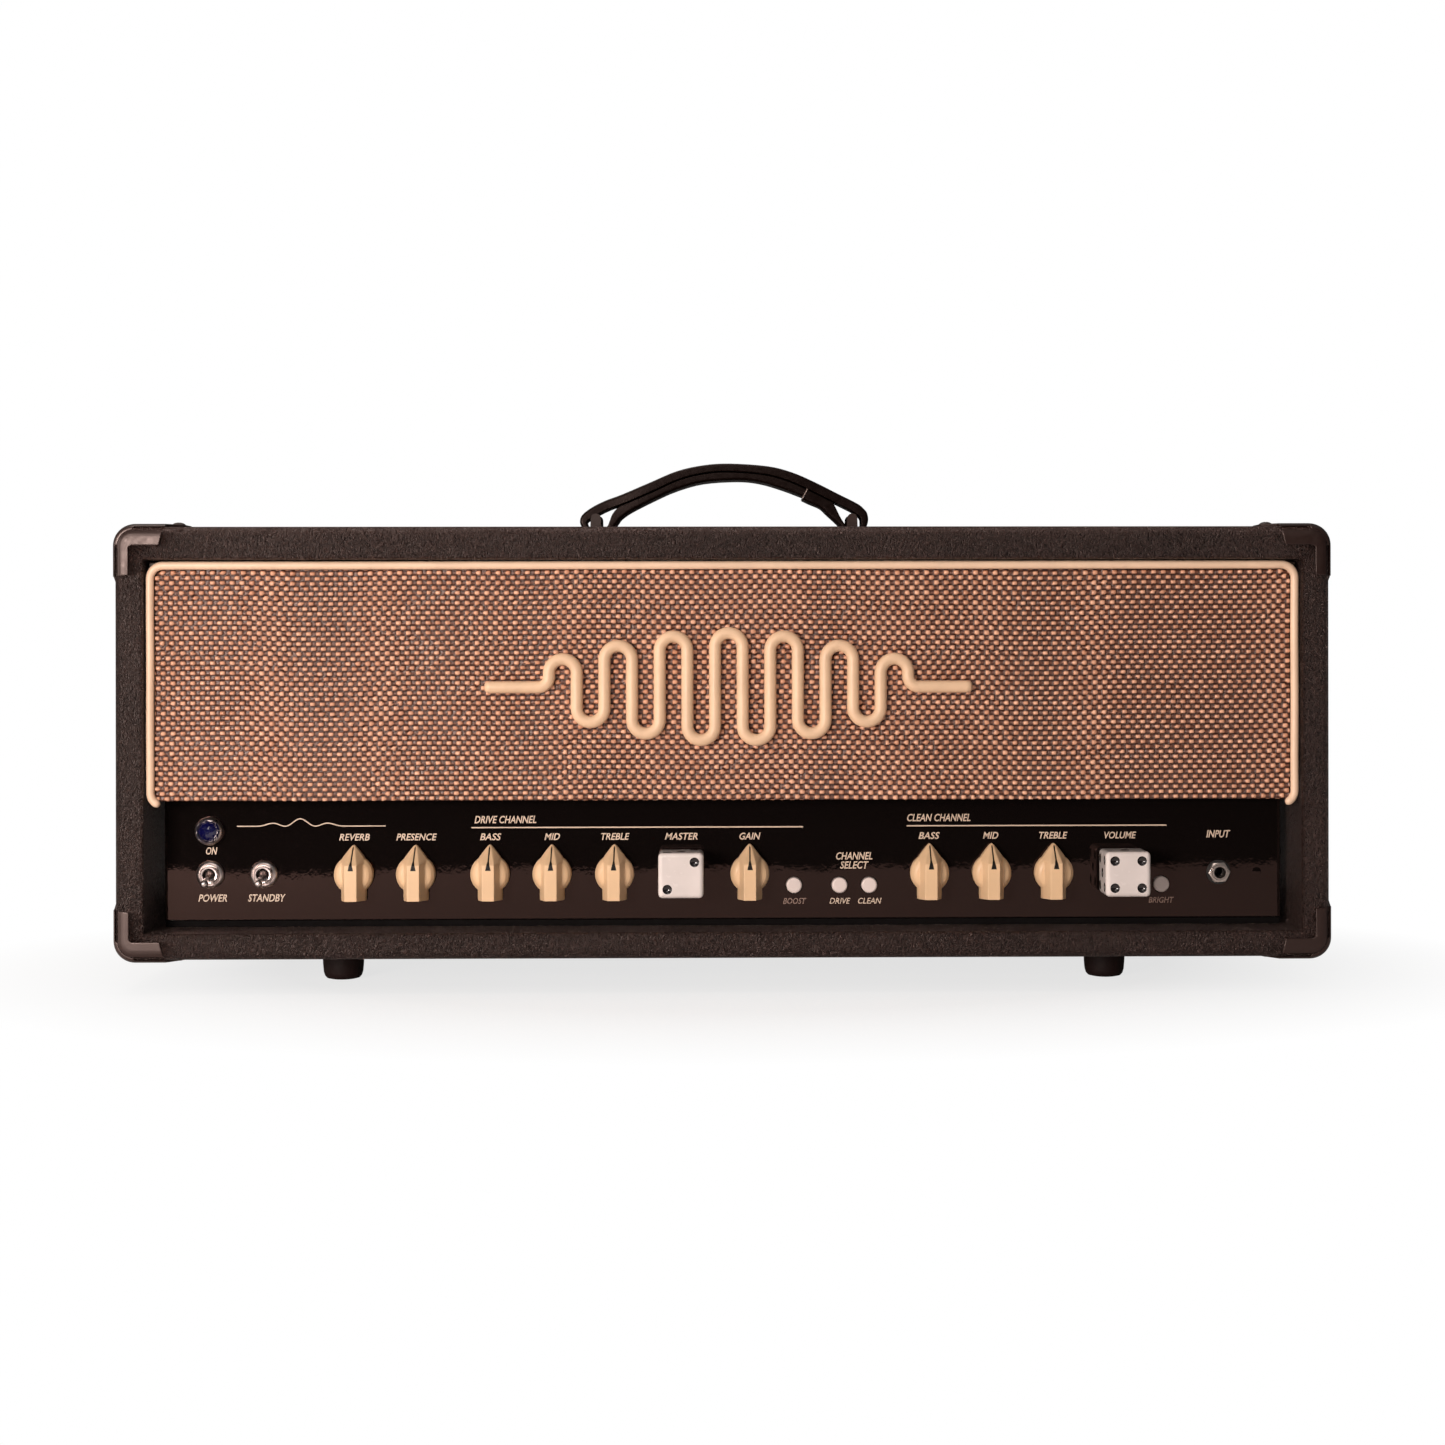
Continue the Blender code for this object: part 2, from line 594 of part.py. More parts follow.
def make_buttons(mat):
    """Round push caps that slide in through the panel."""
    inside = 0.0090
    edge = BUTTON_RADIUS - 0.0007
    profile = [(0, -inside), (BUTTON_RADIUS, -inside), (BUTTON_RADIUS, BUTTON_PROUD - 0.0007)]
    profile += [(edge, BUTTON_PROUD - 0.0001), (0, BUTTON_PROUD)]
    for name, x in BUTTON_XS.items():
        turned(f"{name}_button", profile, mat, (x, PANEL_Y, BUTTON_ROW_Z), "FRONT", 14)


def make_pot_board(mat):
    """A circuit board behind the panel: a bored potentiometer for each knob, a switch for each button."""
    board_half_height, board_thickness = 0.017, 0.0016
    board = block(
        "pot_board",
        (-0.222, BOARD_Y, KNOB_ROW_Z - board_half_height),
        (0.262, BOARD_Y + board_thickness, KNOB_ROW_Z + board_half_height),
        mat,
    )
    into_board = BOARD_Y + board_thickness / 2
    pot_front, bushing_front, bore_end = -0.0835, PANEL_Y + 0.0005, -0.0785
    body_radius = 0.0082
    depth = into_board - bushing_front
    shoulder = pot_front - bushing_front
    shapes, bores = [], []
    for x in (*KNOB_XS.values(), *DICE_XS.values()):
        profile = [(0, 0), (POT_BUSHING_RADIUS, 0), (POT_BUSHING_RADIUS, shoulder), (body_radius, shoulder)]
        pot = turned_mesh([*profile, (body_radius, depth), (0, depth)], 12)
        bmesh.ops.rotate(pot, matrix=Matrix.Rotation(-math.pi / 2, 3, "X"), verts=pot.verts)
        bmesh.ops.translate(pot, vec=(x, bushing_front, KNOB_ROW_Z), verts=pot.verts)
        shapes.append(pot)
        bores.append(cylinder_along_y(SHAFT_BORE_RADIUS, x, KNOB_ROW_Z, bushing_front - 0.001, bore_end, 12))
    half, switch_front = 0.0050, -0.0825
    for x in BUTTON_XS.values():
        low = (x - half, switch_front, BUTTON_ROW_Z - half)
        shapes.append(box_mesh(low, (x + half, into_board, BUTTON_ROW_Z + half)))
    join(board, merged(shapes))
    return cut(board, merged(bores))


def chicken_head_mesh(mat):
    """A pointer knob on its shaft. +Y is the pointer's way and +Z points out of the panel."""
    skirt_radius, back = 0.0111, 0.0012
    skirt = [(0, back), (skirt_radius, back), (skirt_radius - 0.0002, 0.0055), (0.0095, 0.0082), (0, 0.0086)]
    knob = solid("knob", turned_mesh(skirt, 20), mat)
    wide, ridge, tip = 0.0070, 0.0034, 0.0006
    tail, nose_start, nose_tip = -0.0148, 0.0073, 0.0166
    ridge_height = 0.0155
    points = []
    for sign in (-1, 1):
        points += [(sign * wide, tail, back), (sign * wide, nose_start, back), (sign * tip, nose_tip, back)]
        points += [(sign * tip, nose_tip, 0.0036), (sign * wide, nose_start - 0.001, 0.0050)]
        points += [(sign * (wide - 0.0006), tail + 0.0002, 0.0050)]
        points += [(sign * ridge, tail + 0.0008, ridge_height)]
        points += [(sign * ridge, nose_start - 0.001, ridge_height)]
    join(knob, hull_mesh(points))
    shaft_end = -0.0145
    shaft = turned_mesh([(0, shaft_end), (SHAFT_RADIUS, shaft_end), (SHAFT_RADIUS, 0.004), (0, 0.004)], 12)
    join(knob, shaft)
    return finished_mesh(knob)


def die_mesh(mat):
    """A die bored to serve as a knob, on its shaft, with rounded edges and corners."""
    half = DIE_SIDE / 2
    low = (-half, DIE_OFFSET_UP - half, DIE_STANDOFF)
    high = (half, DIE_OFFSET_UP + half, DIE_STANDOFF + DIE_SIDE)
    bm = box_mesh(low, high)
    bmesh.ops.bevel(bm, geom=bm.edges, offset=0.0024, segments=2, profile=0.5, affect="EDGES")
    die = solid("die", bm, mat)
    shaft_end = -0.0145
    shaft = turned_mesh([(0, shaft_end), (SHAFT_RADIUS, shaft_end), (SHAFT_RADIUS, 0.008), (0, 0.008)], 12)
    join(die, shaft)
    return finished_mesh(die)


def make_knobs(mats):
    pointer = chicken_head_mesh(mats["cream_plastic"])
    for name, x in KNOB_XS.items():
        smooth(placed(f"{name}_knob", pointer, (x, PANEL_Y, KNOB_ROW_Z), "FRONT"))
    die = die_mesh(mats["die_white"])
    for name, x in DICE_XS.items():
        smooth(placed(f"{name}_knob", die, (x, PANEL_Y, KNOB_ROW_Z), "FRONT"))


# Chassis fittings: (x, z) of the middle of each one in the rear wall
INLET_X = -0.255
FUSE_X = -0.200
REAR_JACK_XS = [0.060 + 0.034 * i for i in range(5)]


def make_chassis(mats):
    """A folded steel tray, open below and in front, with its deck on top and the sockets in its rear wall."""
    half, inner = CHASSIS_HALF_WIDTH, CHASSIS_HALF_WIDTH - SHEET
    front_y, bottom_z = PANEL_Y + PANEL_THICKNESS + GAP, INNER_FLOOR_Z + GAP
    front_lip_z = DECK_Z - 0.005
    tray = block("chassis_tray", (-half, front_y, bottom_z), (half, CHASSIS_BACK_Y, DECK_Z), mats["steel"])
    below = bottom_z - 0.01
    cut(tray, box_mesh((-inner, front_y + SHEET, below), (inner, CHASSIS_BACK_Y - SHEET, DECK_Z - SHEET)))
    cut(tray, box_mesh((-inner, front_y - 0.01, below), (inner, front_y + 2 * SHEET, front_lip_z)))
    wall = (CHASSIS_BACK_Y - 0.01, CHASSIS_BACK_Y + 0.01)
    half_x, half_z = 0.0140, 0.0105
    inlet_low = (INLET_X - half_x, wall[0], REAR_SOCKET_Z - half_z)
    holes = [box_mesh(inlet_low, (INLET_X + half_x, wall[1], REAR_SOCKET_Z + half_z))]
    holes.append(cylinder_along_y(0.0065, FUSE_X, REAR_SOCKET_Z, *wall, 12))
    holes += [cylinder_along_y(0.0055, x, REAR_SOCKET_Z, *wall, 12) for x in REAR_JACK_XS]
    cut(tray, merged(holes))
    make_rear_sockets(mats)
    make_deck_parts(mats)


def make_rear_sockets(mats):
    """Mains inlet, fuse holder and a row of jack sockets, all through the rear wall."""
    outside = CHASSIS_BACK_Y + GAP
    flange_half_x, flange_half_z, flange = 0.0240, 0.0125, 0.0030
    body_half_x, body_half_z, body_depth = 0.0135, 0.0100, 0.0180
    inlet = block(
        "mains_inlet",
        (INLET_X - flange_half_x, outside, REAR_SOCKET_Z - flange_half_z),
        (INLET_X + flange_half_x, outside + flange, REAR_SOCKET_Z + flange_half_z),
        mats["black_plastic"],
    )
    join(
        inlet,
        box_mesh(
            (INLET_X - body_half_x, outside - body_depth, REAR_SOCKET_Z - body_half_z),
            (INLET_X + body_half_x, outside + flange / 2, REAR_SOCKET_Z + body_half_z),
        ),
    )
    cavity_wall, cavity_depth = 0.0015, 0.0140
    half_x, half_z = body_half_x - cavity_wall, body_half_z - cavity_wall
    cut(
        inlet,
        box_mesh(
            (INLET_X - half_x, outside + flange - cavity_depth, REAR_SOCKET_Z - half_z),
            (INLET_X + half_x, outside + 2 * flange, REAR_SOCKET_Z + half_z),
        ),
    )
    fuse = [(0, -0.025), (0.0060, -0.025), (0.0060, 0), (0.0085, 0), (0.0085, 0.0020), (0.0070, 0.0022)]
    fuse += [(0.0068, 0.0090), (0.0060, 0.0098), (0, 0.0098)]
    turned("fuse_holder", fuse, mats["black_plastic"], (FUSE_X, outside, REAR_SOCKET_Z), "BACK")
    make_jack_strip(mats["black_plastic"])


def make_jack_strip(mat):
    """Five jack sockets moulded in one strip, their threaded noses through the wall."""
    inside = CHASSIS_BACK_Y - SHEET - GAP
    end = 0.014
    strip = block(
        "rear_jack_strip",
        (REAR_JACK_XS[0] - end, inside - 0.022, REAR_SOCKET_Z - 0.011),
        (REAR_JACK_XS[-1] + end, inside, REAR_SOCKET_Z + 0.011),
        mat,
    )
    nose_end = CHASSIS_BACK_Y + 0.0060
    noses = [cylinder_along_y(0.0050, x, REAR_SOCKET_Z, inside - 0.005, nose_end, 12) for x in REAR_JACK_XS]
    join(strip, merged(noses))
    bore, past_end = 0.003175, nose_end + 0.01
    bores = [cylinder_along_y(bore, x, REAR_SOCKET_Z, inside - 0.018, past_end, 12) for x in REAR_JACK_XS]
    return cut(strip, merged(bores))


def make_deck_parts(mats):
    deck = DECK_Z + GAP
    make_transformer("mains_transformer", (-0.245, 0.030), (0.100, 0.085, 0.080), deck, mats["black_steel"])
    make_transformer("output_transformer", (-0.120, 0.030), (0.080, 0.070, 0.066), deck, mats["black_steel"])
    socket_height, socket_radius = 0.0080, 0.0175
    tube_y = 0.045
    for name, x in (("left", -0.030), ("right", 0.035)):
        socket = [(0, 0), (socket_radius, 0), (socket_radius, socket_height), (0, socket_height)]
        turned(f"power_tube_socket_{name}", socket, mats["black_plastic"], (x, tube_y, deck))
        tube = [(0, 0), (0.0163, 0), (0.0163, 0.0120), (0.0148, 0.0150), (0.0148, 0.0600), (0.0142, 0.0720)]
        tube += [(0.0118, 0.0810), (0.0060, 0.0860), (0, 0.0870)]
        turned(f"power_tube_{name}", tube, mats["glass"], (x, tube_y, deck + socket_height + GAP))
    can = [(0, 0), (0.0115, 0), (0.0115, 0.0440), (0.0100, 0.0490), (0.0045, 0.0500), (0, 0.0500)]
    for i, x in enumerate((0.120, 0.175, 0.230)):
        turned(f"preamp_tube_can_{i + 1}", can, mats["steel"], (x, 0.020, deck))
    make_reverb_tank(mats["steel"])


def make_transformer(name, middle, size, deck, mat):
    """A laminated core lying across the deck, with a bell cover on its front and back."""
    x, y = middle
    width, depth, height = size
    core_depth = depth * 0.42
    core = block(
        name,
        (x - width / 2, y - core_depth / 2, deck),
        (x + width / 2, y + core_depth / 2, deck + height),
        mat,
    )
    inset = 0.012
    bells = box_mesh(
        (x - width / 2 + inset, y - depth / 2, deck + inset),
        (x + width / 2 - inset, y + depth / 2, deck + height - inset),
    )
    edges = [e for e in bells.edges if abs(e.verts[0].co.y - e.verts[1].co.y) < GAP]
    bmesh.ops.bevel(bells, geom=edges, offset=0.010, segments=2, profile=0.5, affect="EDGES")
    return join(core, bells)


def make_reverb_tank(mat):
    """A pressed pan with mounting ears, open towards the grille board that it is held on."""
    front = BAFFLE_BACK_Y + GAP
    low_x, high_x, low_z, high_z = 0.045, 0.280, 0.118, 0.226
    depth = 0.030
    tank = block("reverb_tank", (low_x, front, low_z), (high_x, front + depth, high_z), mat)
    hollow = box_mesh(
        (low_x + SHEET, front - depth, low_z + SHEET),
        (high_x - SHEET, front + depth - SHEET, high_z - SHEET),
    )
    cut(tank, hollow)
    ear, ear_thickness, middle_z = 0.012, 0.0015, (low_z + high_z) / 2
    for near, far in ((low_x - ear, low_x + SHEET / 2), (high_x - SHEET / 2, high_x + ear)):
        join(tank, box_mesh((near, front, middle_z - 0.03), (far, front + ear_thickness, middle_z + 0.03)))
    return tank


# Back: a covered board with a window, and a slotted steel grille over the window
BACK_BOARD_FRONT_Y = 0.1065
BACK_BOARD_BACK_Y = 0.1185
WINDOW_HALF_WIDTH = 0.180
WINDOW_LOW_Z, WINDOW_HIGH_Z = 0.140, 0.210


def make_back(mats):
    board = block(
        "back_panel",
        (-0.3232, BACK_BOARD_FRONT_Y, 0.1050),
        (0.3232, BACK_BOARD_BACK_Y, INNER_CEILING_Z - 0.0006),
        mats["covering"],
    )
    window = (-WINDOW_HALF_WIDTH, 0, WINDOW_LOW_Z), (WINDOW_HALF_WIDTH, 0.2, WINDOW_HIGH_Z)
    cut(board, box_mesh(*window))
    margin = 0.012
    plate_back = BACK_BOARD_BACK_Y + GAP + 0.0012
    vent = block(
        "rear_vent_grille",
        (-WINDOW_HALF_WIDTH - margin, BACK_BOARD_BACK_Y + GAP, WINDOW_LOW_Z - margin),
        (WINDOW_HALF_WIDTH + margin, plate_back, WINDOW_HIGH_Z + margin),
        mats["black_steel"],
    )
    rows, columns, slot_height, gutter = 6, 6, 0.0052, 0.010
    row_pitch = (WINDOW_HIGH_Z - WINDOW_LOW_Z) / rows
    column_pitch = 2 * WINDOW_HALF_WIDTH / columns
    slots = []
    for row in range(rows):
        z = WINDOW_LOW_Z + (row + 0.5) * row_pitch
        for column in range(columns):
            x = -WINDOW_HALF_WIDTH + (column + 0.5) * column_pitch
            reach = (column_pitch - gutter) / 2
            low = (x - reach, BACK_BOARD_FRONT_Y, z - slot_height / 2)
            slots.append(box_mesh(low, (x + reach, BACK_Y + 0.02, z + slot_height / 2)))
    cut(vent, merged(slots))


def main():
    clear_scene()
    mats = make_materials()
    make_cabinet(mats)
    make_handle(mats)
    make_grille(mats)
    make_panel(mats)
    make_knobs(mats)
    make_chassis(mats)
    make_back(mats)


main()
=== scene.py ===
"""The looks of a valve guitar amplifier head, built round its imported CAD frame.

Metres, +Z up, front towards -Y.
"""

import json
import math

import bmesh
import bpy
import numpy as np
from mathutils import Matrix, Vector
from mathutils.bvhtree import BVHTree


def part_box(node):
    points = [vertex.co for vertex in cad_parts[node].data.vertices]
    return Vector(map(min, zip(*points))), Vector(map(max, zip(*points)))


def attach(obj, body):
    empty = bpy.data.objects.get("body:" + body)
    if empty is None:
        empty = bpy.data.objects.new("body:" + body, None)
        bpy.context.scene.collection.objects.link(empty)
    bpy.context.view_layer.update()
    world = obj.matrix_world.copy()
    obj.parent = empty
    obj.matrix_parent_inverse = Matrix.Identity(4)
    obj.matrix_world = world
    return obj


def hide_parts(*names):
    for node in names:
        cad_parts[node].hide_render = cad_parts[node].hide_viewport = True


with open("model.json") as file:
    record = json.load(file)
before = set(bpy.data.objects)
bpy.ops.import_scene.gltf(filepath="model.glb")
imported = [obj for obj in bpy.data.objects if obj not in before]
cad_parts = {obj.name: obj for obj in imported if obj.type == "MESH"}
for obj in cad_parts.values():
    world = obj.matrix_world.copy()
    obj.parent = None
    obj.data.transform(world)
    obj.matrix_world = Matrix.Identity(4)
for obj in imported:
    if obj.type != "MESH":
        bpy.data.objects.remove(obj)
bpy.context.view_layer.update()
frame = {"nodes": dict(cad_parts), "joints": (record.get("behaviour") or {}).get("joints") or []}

# Places read from the frame
SLEEVE_LOW, SLEEVE_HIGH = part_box("cabinet_sleeve")
HALF_WIDTH, FRONT_Y, BACK_Y = SLEEVE_HIGH.x, SLEEVE_LOW.y, SLEEVE_HIGH.y
BASE_Z, TOP_Z = SLEEVE_LOW.z, SLEEVE_HIGH.z
PANEL_LOW, PANEL_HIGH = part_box("control_panel")
PANEL_Y = PANEL_LOW.y
CLOTH_LOW, CLOTH_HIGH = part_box("grille_cloth")
TRAY_LOW, TRAY_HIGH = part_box("chassis_tray")
JOINTS = {joint["name"]: joint for joint in frame["joints"]}
KNOBS = ["reverb", "presence", "drive_bass", "drive_mid", "drive_treble", "gain"]
KNOBS += ["clean_bass", "clean_mid", "clean_treble"]
BUTTONS = ["boost", "drive_select", "clean_select", "bright"]
TOGGLES = ["power", "standby"]
GAP = 0.0003

# The cabinet's boards and its rounded edges
SIDE_BOARD, TOP_BOARD, BOTTOM_BOARD = 0.016, 0.0186, 0.015
CORNER_RADIUS, EDGE_RADIUS, INNER_EDGE_RADIUS = 0.0105, 0.0045, 0.0016

# How a piece's own +Z points
UP = Matrix.Identity(4)
FRONT = Matrix.Rotation(math.pi / 2, 4, "X")
BACK = Matrix.Rotation(-math.pi / 2, 4, "X")
DOWN = Matrix.Rotation(math.pi, 4, "X")
RIGHT = Matrix.Rotation(math.pi / 2, 4, "Y")
LEFT = Matrix.Rotation(-math.pi / 2, 4, "Y")


# ---------------------------------------------------------------- meshes


def at(x, y, z, turn=UP):
    return Matrix.Translation((x, y, z)) @ turn


def mesh_of(bm, name="mesh", *mats):
    bmesh.ops.recalc_face_normals(bm, faces=bm.faces)
    mesh = bpy.data.meshes.new(name)
    bm.to_mesh(mesh)
    bm.free()
    for mat in mats:
        mesh.materials.append(mat)
    return mesh


def piece(name, shape, mat, body="cabinet", place=UP, replaces=(), smooth=40, bevel=0.0):
    """Adds a piece of the object from a bmesh or a mesh, hangs it on the body it rides on, and hides the
    CAD parts it stands for.
    """
    mesh = shape if isinstance(shape, bpy.types.Mesh) else mesh_of(shape, name)
    if None in list(mesh.materials) or not mesh.materials:
        dressed(mesh, mat)
    obj = bpy.data.objects.new(name, mesh)
    obj.matrix_world = place
    bpy.context.scene.collection.objects.link(obj)
    mesh.shade_smooth()
    if bevel:
        modifier = obj.modifiers.new("Edges", "BEVEL")
        modifier.width, modifier.segments, modifier.limit_method = bevel, 2, "ANGLE"
        modifier.angle_limit = math.radians(40)
    mesh.set_sharp_from_angle(angle=math.radians(smooth))
    obj.modifiers.new("Normals", "WEIGHTED_NORMAL").keep_sharp = True
    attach(obj, body)
    if replaces:
        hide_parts(*replaces)
    return obj


def box_mesh(low, high):
    bm = bmesh.new()
    bmesh.ops.create_cube(bm, size=1)
    bmesh.ops.scale(bm, vec=[b - a for a, b in zip(low, high)], verts=bm.verts)
    bmesh.ops.translate(bm, vec=[(a + b) / 2 for a, b in zip(low, high)], verts=bm.verts)
    return bm


def rounded_box(low, high, radius, steps=3):
    bm = box_mesh(low, high)
    bmesh.ops.bevel(bm, geom=bm.edges, offset=radius, segments=steps, profile=0.5, affect="EDGES")
    return bm


def loft(rings, closed=False):
    """Joins rings of equally many points, and caps the ends or joins the last ring to the first."""
    bm = bmesh.new()
    rows = [[bm.verts.new(point) for point in ring] for ring in rings]
    pairs = list(zip(rows, rows[1:]))
    if closed:
        pairs.append((rows[-1], rows[0]))
    for row, following in pairs:
        for i in range(len(row)):
            j = (i + 1) % len(row)
            bm.faces.new((row[i], row[j], following[j], following[i]))
    if not closed:
        bm.faces.new(rows[0])
        bm.faces.new(rows[-1])
    return bm


def turned(profile, segments=48, ripple=None):
    """A shape turned about Z from (radius, height) points. ripple(angle, height) scales the radius."""
    bm = bmesh.new()
    rows = []
    for radius, height in profile:
        if radius == 0:
            rows.append([bm.verts.new((0, 0, height))])
            continue
        row = []
        for i in range(segments):
            angle = 2 * math.pi * i / segments
            r = radius * (ripple(angle, height) if ripple else 1)
            row.append(bm.verts.new((r * math.cos(angle), r * math.sin(angle), height)))
        rows.append(row)
    for row, following in zip(rows, rows[1:]):
        for i in range(segments):
            j = (i + 1) % segments
            corners = [row[i % len(row)], row[j % len(row)]]
            corners += [following[j % len(following)], following[i % len(following)]]
            corners = list(dict.fromkeys(corners))
            if len(corners) > 2:
                bm.faces.new(corners)
    return bm


def arc(centre, radius, start, end, steps):
    angles = [math.radians(start + (end - start) * i / steps) for i in range(steps + 1)]
    return [(centre[0] + radius * math.cos(a), centre[1] + radius * math.sin(a)) for a in angles]


def rounded_outline(half_width, low, high, radius, steps=8):
    """A rectangle with four round corners, counted anticlockwise from the lower end of the right side."""
    points = []
    for sign, level, start in ((1, high, 0), (-1, high, 90), (-1, low, 180), (1, low, 270)):
        middle = level - radius if level == high else level + radius
        points += arc((sign * (half_width - radius), middle), radius, start, start + 90, steps)
    return points


def prism(outline, low, high):
    return loft([[(x, y, low) for x, y in outline], [(x, y, high) for x, y in outline]])


def joined(shapes):
    """Several bmeshes in one. Each keeps its own surface."""
    result = bmesh.new()
    for bm in shapes:
        mesh = mesh_of(bm)
        result.from_mesh(mesh)
        bpy.data.meshes.remove(mesh)
    return result


def moved(bm, matrix):
    bmesh.ops.transform(bm, matrix=matrix, verts=bm.verts)
    return bm


def solve(base, *steps, mats=()):
    """The mesh left when shapes are cut from a base or joined to it: steps are (operation, bmesh) pairs."""
    target = bpy.data.objects.new("solve", mesh_of(base, "solved", *mats[:1]))
    bpy.context.scene.collection.objects.link(target)
    helpers = []
    for number, (operation, bm) in enumerate(steps):
        own = mats[number + 1 : number + 2] or mats[:1]
        helper = bpy.data.objects.new("helper", mesh_of(bm, "helper", *own))
        bpy.context.scene.collection.objects.link(helper)
        modifier = target.modifiers.new("Solve", "BOOLEAN")
        modifier.operation, modifier.object, modifier.solver = operation, helper, "EXACT"
        modifier.material_mode = "TRANSFER"
        helpers.append(helper)
    return baked(target, helpers)


def baked(obj, helpers=()):
    """The mesh of an object with its modifiers applied. The object and its helpers are removed."""
    graph = bpy.context.evaluated_depsgraph_get()
    mesh = bpy.data.meshes.new_from_object(obj.evaluated_get(graph), depsgraph=graph)
    for used in [*helpers, obj]:
        bpy.data.objects.remove(used, do_unlink=True)
    return mesh


def softened(mesh, mat, voxel, rounds, share):
    """Remeshes a solid finely, smooths its edges into each other and thins the result out again."""
    obj = bpy.data.objects.new("soften", mesh)
    bpy.context.scene.collection.objects.link(obj)
    remesh = obj.modifiers.new("Remesh", "REMESH")
    remesh.mode, remesh.voxel_size = "VOXEL", voxel
    relax = obj.modifiers.new("Smooth", "SMOOTH")
    relax.factor, relax.iterations = 0.5, rounds
    thin = obj.modifiers.new("Decimate", "DECIMATE")
    thin.ratio = share
    return dressed(baked(obj), mat)


def dressed(mesh, mat):
    """The same mesh with one material all over."""
    mesh.materials.clear()
    mesh.materials.append(mat)
    mesh.polygons.foreach_set("material_index", [0] * len(mesh.polygons))
    return mesh


def swept(path, section, scales=None):
    """Carries a (sideways, outward) section along a path in the XY plane. Outward is +Z."""
    rings = []
    for i, (x, y) in enumerate(path):
        before, after = path[max(i - 1, 0)], path[min(i + 1, len(path) - 1)]
        along = math.atan2(after[1] - before[1], after[0] - before[0])
        side = (-math.sin(along), math.cos(along))
        k = scales[i] if scales else 1
        rings.append([(x + side[0] * s * k, y + side[1] * s * k, out * k) for s, out in section])
    return loft(rings)


# ---------------------------------------------------------------- materials


class Graph:
    """A material and its node tree, with one short call for each kind of node."""

    def __init__(self, name, **settings):
        self.mat = bpy.data.materials.new(name)
        self.mat.use_nodes = True
        self.tree = self.mat.node_tree
        self.shader = self.tree.nodes["Principled BSDF"]
        self.place = self.tree.nodes.new("ShaderNodeTexCoord").outputs["Object"]
        for key, value in settings.items():
            socket = self.shader.inputs[key.replace("_", " ").title().replace("Ior", "IOR")]
            socket.default_value = (*value, 1.0) if isinstance(value, tuple) else value

    def node(self, kind, inputs=None, **settings):
        made = self.tree.nodes.new("ShaderNode" + kind)
        for key, value in settings.items():
            setattr(made, key, value)
        for key, value in (inputs or {}).items():
            if isinstance(value, bpy.types.NodeSocket):
                self.tree.links.new(value, made.inputs[key])
            else:
                made.inputs[key].default_value = value
        return made

    def stretched(self, scale):
        return self.node("Mapping", {"Vector": self.place, "Scale": scale}).outputs["Vector"]

    def noise(self, scale, detail=3.0, roughness=0.55, vector=None, distortion=0.0, **settings):
        inputs = {"Vector": vector or self.place, "Scale": scale, "Detail": detail}
        inputs |= {"Roughness": roughness, "Distortion": distortion}
        return self.node("TexNoise", inputs, **settings).outputs[0]

    def cells(self, scale, feature="F1", vector=None):
        inputs = {"Vector": vector or self.place, "Scale": scale}
        return self.node("TexVoronoi", inputs, feature=feature).outputs["Distance"]

    def math(self, operation, a, b=0.0):
        return self.node("Math", {0: a, 1: b}, operation=operation).outputs[0]

    def fit(self, value, low, high, new_low=0.0, new_high=1.0):
        inputs = {"Value": value, 1: low, 2: high, 3: new_low, 4: new_high}
        return self.node("MapRange", inputs).outputs[0]

    def mix(self, share, a, b):
        made = self.node("Mix", {"Factor": share}, data_type="RGBA")
        for socket, value in zip((made.inputs[6], made.inputs[7]), (a, b)):
            if isinstance(value, bpy.types.NodeSocket):
                self.tree.links.new(value, socket)
            else:
                socket.default_value = (*value, 1.0)
        return made.outputs[2]

    def bump(self, height, distance, strength=1.0, normal=None):
        inputs = {"Height": height, "Distance": distance, "Strength": strength}
        if normal:
            inputs["Normal"] = normal
        return self.node("Bump", inputs).outputs[0]

    def axis(self, name):
        return self.node("SeparateXYZ", {0: self.place}).outputs[name]

    def attribute(self, name):
        return self.node("Attribute", attribute_name=name).outputs["Fac"]

    def done(self, **links):
        for key, value in links.items():
            self.tree.links.new(value, self.shader.inputs[key.replace("_", " ").title()])
        return self.mat


